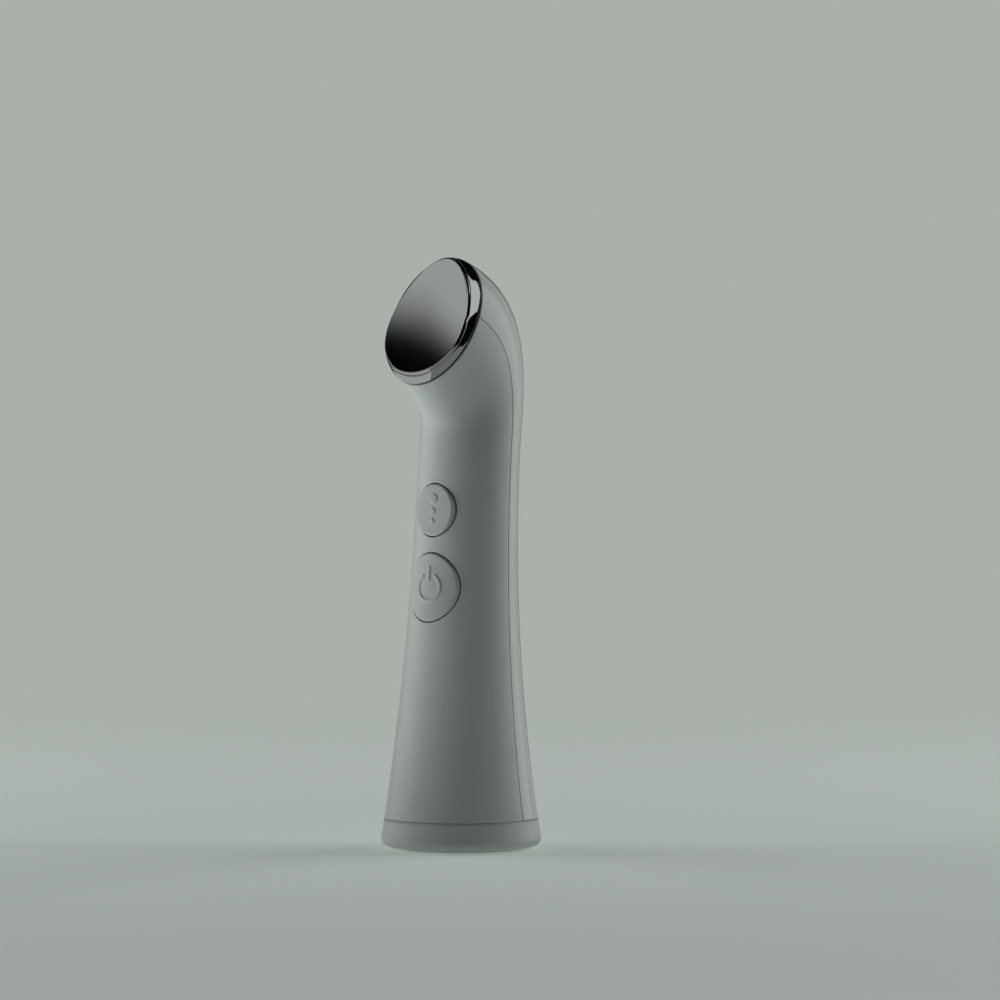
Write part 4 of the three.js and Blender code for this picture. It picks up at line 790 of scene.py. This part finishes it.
def button(level, width, length, face_radius, mark):
    angle = np.linspace(0, 2 * math.pi, BUTTON_SIDES, endpoint=False)

    def oval(inset, height_of, share=1.0):
        x = share * (width / 2 - inset) * np.cos(angle)
        y = share * (length / 2 - inset) * np.sin(angle)
        return in_controls(np.stack([x, y + level, height_of(x, y)], -1))

    def face(x, y):
        faded = (mark(x, y) - MARK_EDGE[0]) / (MARK_EDGE[1] - MARK_EDGE[0])
        return BUTTON_PROUD - x ** 2 / (2 * face_radius) + MARK_HEIGHT * (1 - smooth(faded))

    def skirt(x, _):
        return np.full(len(x), -BUTTON_DEPTH)

    loops = [oval(0, skirt)]
    for turn in np.radians(np.linspace(0, 90, BUTTON_EDGE_LOOPS)):
        inset = BUTTON_ROUND * (1 - math.cos(turn))
        drop = BUTTON_ROUND * (1 - math.sin(turn))
        loops.append(oval(inset, lambda x, y: face(x, y) - drop))
    for share in np.linspace(1, BUTTON_FACE_MIDDLE, BUTTON_FACE_LOOPS)[1:]:
        loops.append(oval(BUTTON_ROUND, face, share))
    return capped(loops)


for name, mark in (("power", power_mark), ("mode", mode_mark)):
    piece(name + "_button_cap", *button(**BUTTONS[name], mark=mark), MATERIALS["button"],
          node=name + "_button", body=name + "_key", slot="button")


# Charging socket: a slot-shaped can, its tongue and the contacts on it

SOCKET_BACK = SOCKET_MOUTH - SOCKET_DEPTH
SOCKET_EDGE = 0.1
SOCKET_FLOOR = 1.0                    # thickness of the can's closed end
TONGUE_WIDTH = 5.7
TONGUE_HALF = 0.35                    # half of its thickness
TONGUE_ROOT = 0.5                     # how far from the can's back it starts, inside the closed end
TONGUE_SETBACK = 1.0                  # from the mouth
TONGUE_EDGE = 0.12
CONTACTS = 12
CONTACT_HALF = 0.13                   # half of a contact's width
CONTACT_ENDS = (5.0, 1.3)             # their distances from the mouth
CONTACT_STANDOUT = 0.04


def slot_loop(width, height, y, sides=72):
    angle = np.linspace(0, 2 * math.pi, sides, endpoint=False)
    outside = np.stack([width * np.cos(angle), height * np.sin(angle)], -1)
    x, z = slot_outline(outside, width, height).T
    return np.stack([x, np.full(sides, y), z + SOCKET_HEIGHT], -1)


def block(x_ends, y_ends, z_half):
    """A box at the socket's height."""
    z_ends = (SOCKET_HEIGHT - z_half, SOCKET_HEIGHT + z_half)
    corners = np.array([[x, y, z] for x in x_ends for y in y_ends for z in z_ends])
    faces = [[0, 1, 3, 2], [4, 6, 7, 5], [0, 4, 5, 1], [2, 3, 7, 6], [0, 2, 6, 4], [1, 5, 7, 3]]
    return corners, faces


def joined(parts):
    points, faces = [], []
    for part_points, part_faces in parts:
        first = sum(len(p) for p in points)
        points.append(part_points)
        faces += [[i + first for i in face] for face in part_faces]
    return np.concatenate(points), faces


def socket_can():
    outer = np.array([SOCKET_WIDTH, SOCKET_THICKNESS])
    inner = outer - 2 * SOCKET_WALL
    return capped([
        slot_loop(*outer, SOCKET_BACK),
        slot_loop(*outer, SOCKET_MOUTH - SOCKET_EDGE),
        slot_loop(*(outer - SOCKET_EDGE), SOCKET_MOUTH),
        slot_loop(*(inner + SOCKET_EDGE), SOCKET_MOUTH),
        slot_loop(*inner, SOCKET_MOUTH - SOCKET_EDGE),
        slot_loop(*inner, SOCKET_BACK + SOCKET_FLOOR),
    ])


def socket_tongue():
    x_ends = (-TONGUE_WIDTH / 2, TONGUE_WIDTH / 2)
    return block(x_ends, (SOCKET_BACK + TONGUE_ROOT, SOCKET_MOUTH - TONGUE_SETBACK), TONGUE_HALF)


def socket_contacts():
    y_ends = [SOCKET_MOUTH - distance for distance in CONTACT_ENDS]
    parts = []
    for i in range(CONTACTS):
        middle = (i - (CONTACTS - 1) / 2) * TONGUE_WIDTH / (CONTACTS + 1)
        x_ends = (middle - CONTACT_HALF, middle + CONTACT_HALF)
        parts.append(block(x_ends, y_ends, TONGUE_HALF + CONTACT_STANDOUT))
    return joined(parts)


piece("charging_socket_can", *socket_can(), MATERIALS["nickel"], node="charging_socket", slot="nickel")
piece("charging_socket_tongue", *socket_tongue(), MATERIALS["chip"], slot="chip", edge=TONGUE_EDGE)
piece("charging_socket_contacts", *socket_contacts(), MATERIALS["brass"], slot="brass")


# Stage: floor, cards, lamps, world and camera, with places in metres

BACKGROUND = (0.402, 0.44, 0.408)
WORLD_LIGHT = (0.88, 1.0, 1.06)
GLOW_COLOR = (0.955, 1.0, 0.965)
FLOOR_COLOR = (0.74, 0.80, 0.75)
FLOOR_GLOW = (0.17, 0.187, 0.174)
FLOOR_RADIUS = 2.5
FLOOR_SIDES = 96
FLOOR_FADE = (0.15, 0.75)             # distances from the wand between which the floor turns clear
FLOOR_DROP = 0.0002                   # keeps it clear of the foot pad's underside
HANDLE_AT = Vector((0, 0, 0.09))
HEAD_AT = Vector((0, -0.014, 0.149))
UP = Vector((0, 0, 1))


def direction(azimuth, elevation):
    azimuth, elevation = math.radians(azimuth), math.radians(elevation)
    flat = math.cos(elevation)
    return Vector((math.sin(azimuth) * flat, -math.cos(azimuth) * flat, math.sin(elevation)))


def face_towards(obj, place, target):
    obj.location = place
    obj.rotation_euler = (Vector(target) - Vector(place)).to_track_quat("-Z", "Y").to_euler()


def lamp(name, place, target, size, power):
    """A soft box that lights the wand but shows neither to the camera nor in reflections."""
    data = bpy.data.lights.new(name, "AREA")
    data.shape = "RECTANGLE"
    data.size, data.size_y = size
    data.energy = power
    obj = bpy.data.objects.new(name, data)
    obj.visible_camera = False
    obj.visible_glossy = False
    bpy.context.scene.collection.objects.link(obj)
    face_towards(obj, place, target)


def card(name, place, target, size, material, shades=False):
    """A flat card that shows in reflections but not to the camera. One that shades also stops light."""
    mesh = bpy.data.meshes.new(name)
    x, y = size[0] / 2, size[1] / 2
    mesh.from_pydata([(-x, -y, 0), (x, -y, 0), (x, y, 0), (-x, y, 0)], [], [(0, 1, 2, 3)])
    mesh.materials.append(material)
    obj = bpy.data.objects.new(name, mesh)
    obj.visible_camera = False
    obj.visible_diffuse = shades
    obj.visible_shadow = shades
    bpy.context.scene.collection.objects.link(obj)
    face_towards(obj, place, target)


def black_card_material():
    material = bpy.data.materials.new("black_card")
    material.use_nodes = True
    shader = material.node_tree.nodes["Principled BSDF"]
    shader.inputs["Base Color"].default_value = (0.004, 0.004, 0.004, 1)
    shader.inputs["Roughness"].default_value = 1.0
    shader.inputs["Specular IOR Level"].default_value = 0.0
    return material


def glow_card_material(name, strength, fade=None):
    """An even glow, or one that grows along the card's own y between two places in metres."""
    material = bpy.data.materials.new(name)
    material.use_nodes = True
    nodes, links = material.node_tree.nodes, material.node_tree.links
    nodes.remove(nodes["Principled BSDF"])
    glow = nodes.new("ShaderNodeEmission")
    glow.inputs["Color"].default_value = (*GLOW_COLOR, 1)
    glow.inputs["Strength"].default_value = strength
    links.new(glow.outputs[0], nodes["Material Output"].inputs["Surface"])
    if fade:
        place = nodes.new("ShaderNodeTexCoord")
        split = nodes.new("ShaderNodeSeparateXYZ")
        links.new(place.outputs["Object"], split.inputs[0])
        growth = nodes.new("ShaderNodeMapRange")
        growth.interpolation_type = "SMOOTHSTEP"
        growth.inputs["From Min"].default_value = fade[0]
        growth.inputs["From Max"].default_value = fade[1]
        growth.inputs["To Max"].default_value = strength
        links.new(split.outputs["Y"], growth.inputs["Value"])
        links.new(growth.outputs["Result"], glow.inputs["Strength"])
    return material


def shown_share(nodes, links):
    """1 for the rays that see the background: the camera's, and those off metal and through glass."""
    path = nodes.new("ShaderNodeLightPath")
    total = path.outputs["Is Camera Ray"]
    for ray in ("Is Glossy Ray", "Is Transmission Ray"):
        either = nodes.new("ShaderNodeMath")
        either.operation = "MAXIMUM"
        links.new(total, either.inputs[0])
        links.new(path.outputs[ray], either.inputs[1])
        total = either.outputs[0]
    return total


def floor_material():
    """Paper with a faint glow, which turns clear with the distance so that the background shows."""
    material = bpy.data.materials.new("floor_paper")
    material.use_nodes = True
    nodes, links = material.node_tree.nodes, material.node_tree.links
    nodes.remove(nodes["Principled BSDF"])
    paper = nodes.new("ShaderNodeBsdfDiffuse")
    paper.inputs["Color"].default_value = (*FLOOR_COLOR, 1)
    glow = nodes.new("ShaderNodeEmission")
    glow.inputs["Color"].default_value = (*FLOOR_GLOW, 1)
    lit = nodes.new("ShaderNodeAddShader")
    links.new(paper.outputs[0], lit.inputs[0])
    links.new(glow.outputs[0], lit.inputs[1])
    clear = nodes.new("ShaderNodeBsdfTransparent")
    place = nodes.new("ShaderNodeTexCoord")
    far = nodes.new("ShaderNodeVectorMath")
    far.operation = "LENGTH"
    links.new(place.outputs["Object"], far.inputs[0])
    fade = nodes.new("ShaderNodeMapRange")
    fade.interpolation_type = "SMOOTHSTEP"
    fade.inputs["From Min"].default_value = FLOOR_FADE[0]
    fade.inputs["From Max"].default_value = FLOOR_FADE[1]
    links.new(far.outputs["Value"], fade.inputs["Value"])
    mix = nodes.new("ShaderNodeMixShader")
    links.new(fade.outputs["Result"], mix.inputs["Fac"])
    links.new(lit.outputs[0], mix.inputs[1])
    links.new(clear.outputs[0], mix.inputs[2])
    links.new(mix.outputs[0], nodes["Material Output"].inputs["Surface"])
    return material


def floor():
    mesh = bpy.data.meshes.new("floor")
    angles = [2 * math.pi * i / FLOOR_SIDES for i in range(FLOOR_SIDES)]
    corners = [(FLOOR_RADIUS * math.cos(a), FLOOR_RADIUS * math.sin(a), 0) for a in angles]
    mesh.from_pydata(corners, [], [list(range(FLOOR_SIDES))])
    mesh.materials.append(floor_material())
    obj = bpy.data.objects.new("floor", mesh)
    obj.location.z = -FLOOR_DROP
    bpy.context.scene.collection.objects.link(obj)


def world(lit, shown):
    """A dim world for the light, and the pale background for the camera, metal and glass."""
    made = bpy.data.worlds.new("studio")
    made.use_nodes = True
    bpy.context.scene.world = made
    nodes, links = made.node_tree.nodes, made.node_tree.links
    light = nodes["Background"]
    light.inputs["Color"].default_value = (*WORLD_LIGHT, 1)
    light.inputs["Strength"].default_value = lit
    backdrop = nodes.new("ShaderNodeBackground")
    backdrop.inputs["Color"].default_value = (*shown, 1)
    mix = nodes.new("ShaderNodeMixShader")
    links.new(shown_share(nodes, links), mix.inputs["Fac"])
    links.new(light.outputs[0], mix.inputs[1])
    links.new(backdrop.outputs[0], mix.inputs[2])
    links.new(mix.outputs[0], nodes["World Output"].inputs["Surface"])


CAMERA_AZIMUTH = 40.0
CAMERA_ELEVATION = 1.5
CAMERA_LENS = 200.0
VIEW_WIDTH = 0.2797                   # metres across the frame at the wand
AIM_SIDE = 0.0109                     # how far the aim lies to the camera's right of the wand's middle
AIM_HEIGHT = 0.0973


def camera():
    data = bpy.data.cameras.new("camera")
    data.lens = CAMERA_LENS
    distance = VIEW_WIDTH * CAMERA_LENS / data.sensor_width
    angle = math.radians(CAMERA_AZIMUTH)
    aim = Vector((math.cos(angle) * AIM_SIDE, math.sin(angle) * AIM_SIDE, AIM_HEIGHT))
    obj = bpy.data.objects.new("camera", data)
    bpy.context.scene.collection.objects.link(obj)
    face_towards(obj, aim + direction(CAMERA_AZIMUTH, CAMERA_ELEVATION) * distance, aim)
    bpy.context.scene.camera = obj


def lamps():
    """A key from the left, a rim light from behind on the right, and a low lamp that looks up."""
    lamp("key_left", HANDLE_AT + direction(-70, 0) * 0.9, HANDLE_AT, size=(0.9, 0.8), power=7.2)
    lamp("rim_right", HANDLE_AT + direction(150, 10) * 0.9, HANDLE_AT, size=(1.0, 1.2), power=6.0)
    low = direction(-30, 0) * 0.3
    lamp("low_front", low, low + UP, size=(0.3, 0.3), power=0.66)


def cards():
    """What the metal mirrors: a dark room, a grey table and fence, and a glow for each bright spot."""
    black = black_card_material()
    card("dark_ceiling", HEAD_AT + UP * 0.75, HEAD_AT, (3.2, 3.2), black)
    grey = glow_card_material("grey_glow", 0.16)
    table = Vector((-0.1, -0.3, 0.001))
    card("grey_table", table, table - UP, (1.4, 1.3), grey)
    for azimuth in (-45, 15):
        fence = direction(azimuth, 0) * 0.6 + UP * 0.125
        card("grey_fence", fence, fence - direction(azimuth, 0), (0.7, 0.25), grey)
    bright = Vector((-0.25, -0.06, 0.002))
    card("bright_table", bright, bright - UP, (0.5, 0.62),
         glow_card_material("table_glow", 0.37, fade=(-0.48, -0.09)))
    card("sky_card", HEAD_AT + direction(-35, 38) * 0.75, HEAD_AT, (1.3, 0.32),
         glow_card_material("sky_glow", 0.42, fade=(-0.052, 0.06)))
    card("streak_card", HEAD_AT + direction(27, 63) * 0.45, HEAD_AT, (0.5, 0.22),
         glow_card_material("streak_glow", 0.5))
    card("rim_card", HANDLE_AT + direction(160, 10) * 0.9, HANDLE_AT, (0.48, 1.2),
         glow_card_material("rim_glow", 1.0))
    card("dark_left", HANDLE_AT + direction(-125, 5) * 0.6, HANDLE_AT, (0.8, 0.4), black)
    card("dark_flag", HANDLE_AT + direction(68, 8) * 0.75, HANDLE_AT, (1.3, 0.62), black, shades=True)


floor()
world(lit=0.05, shown=BACKGROUND)
lamps()
cards()
camera()

bpy.context.scene.view_settings.view_transform = "Standard"
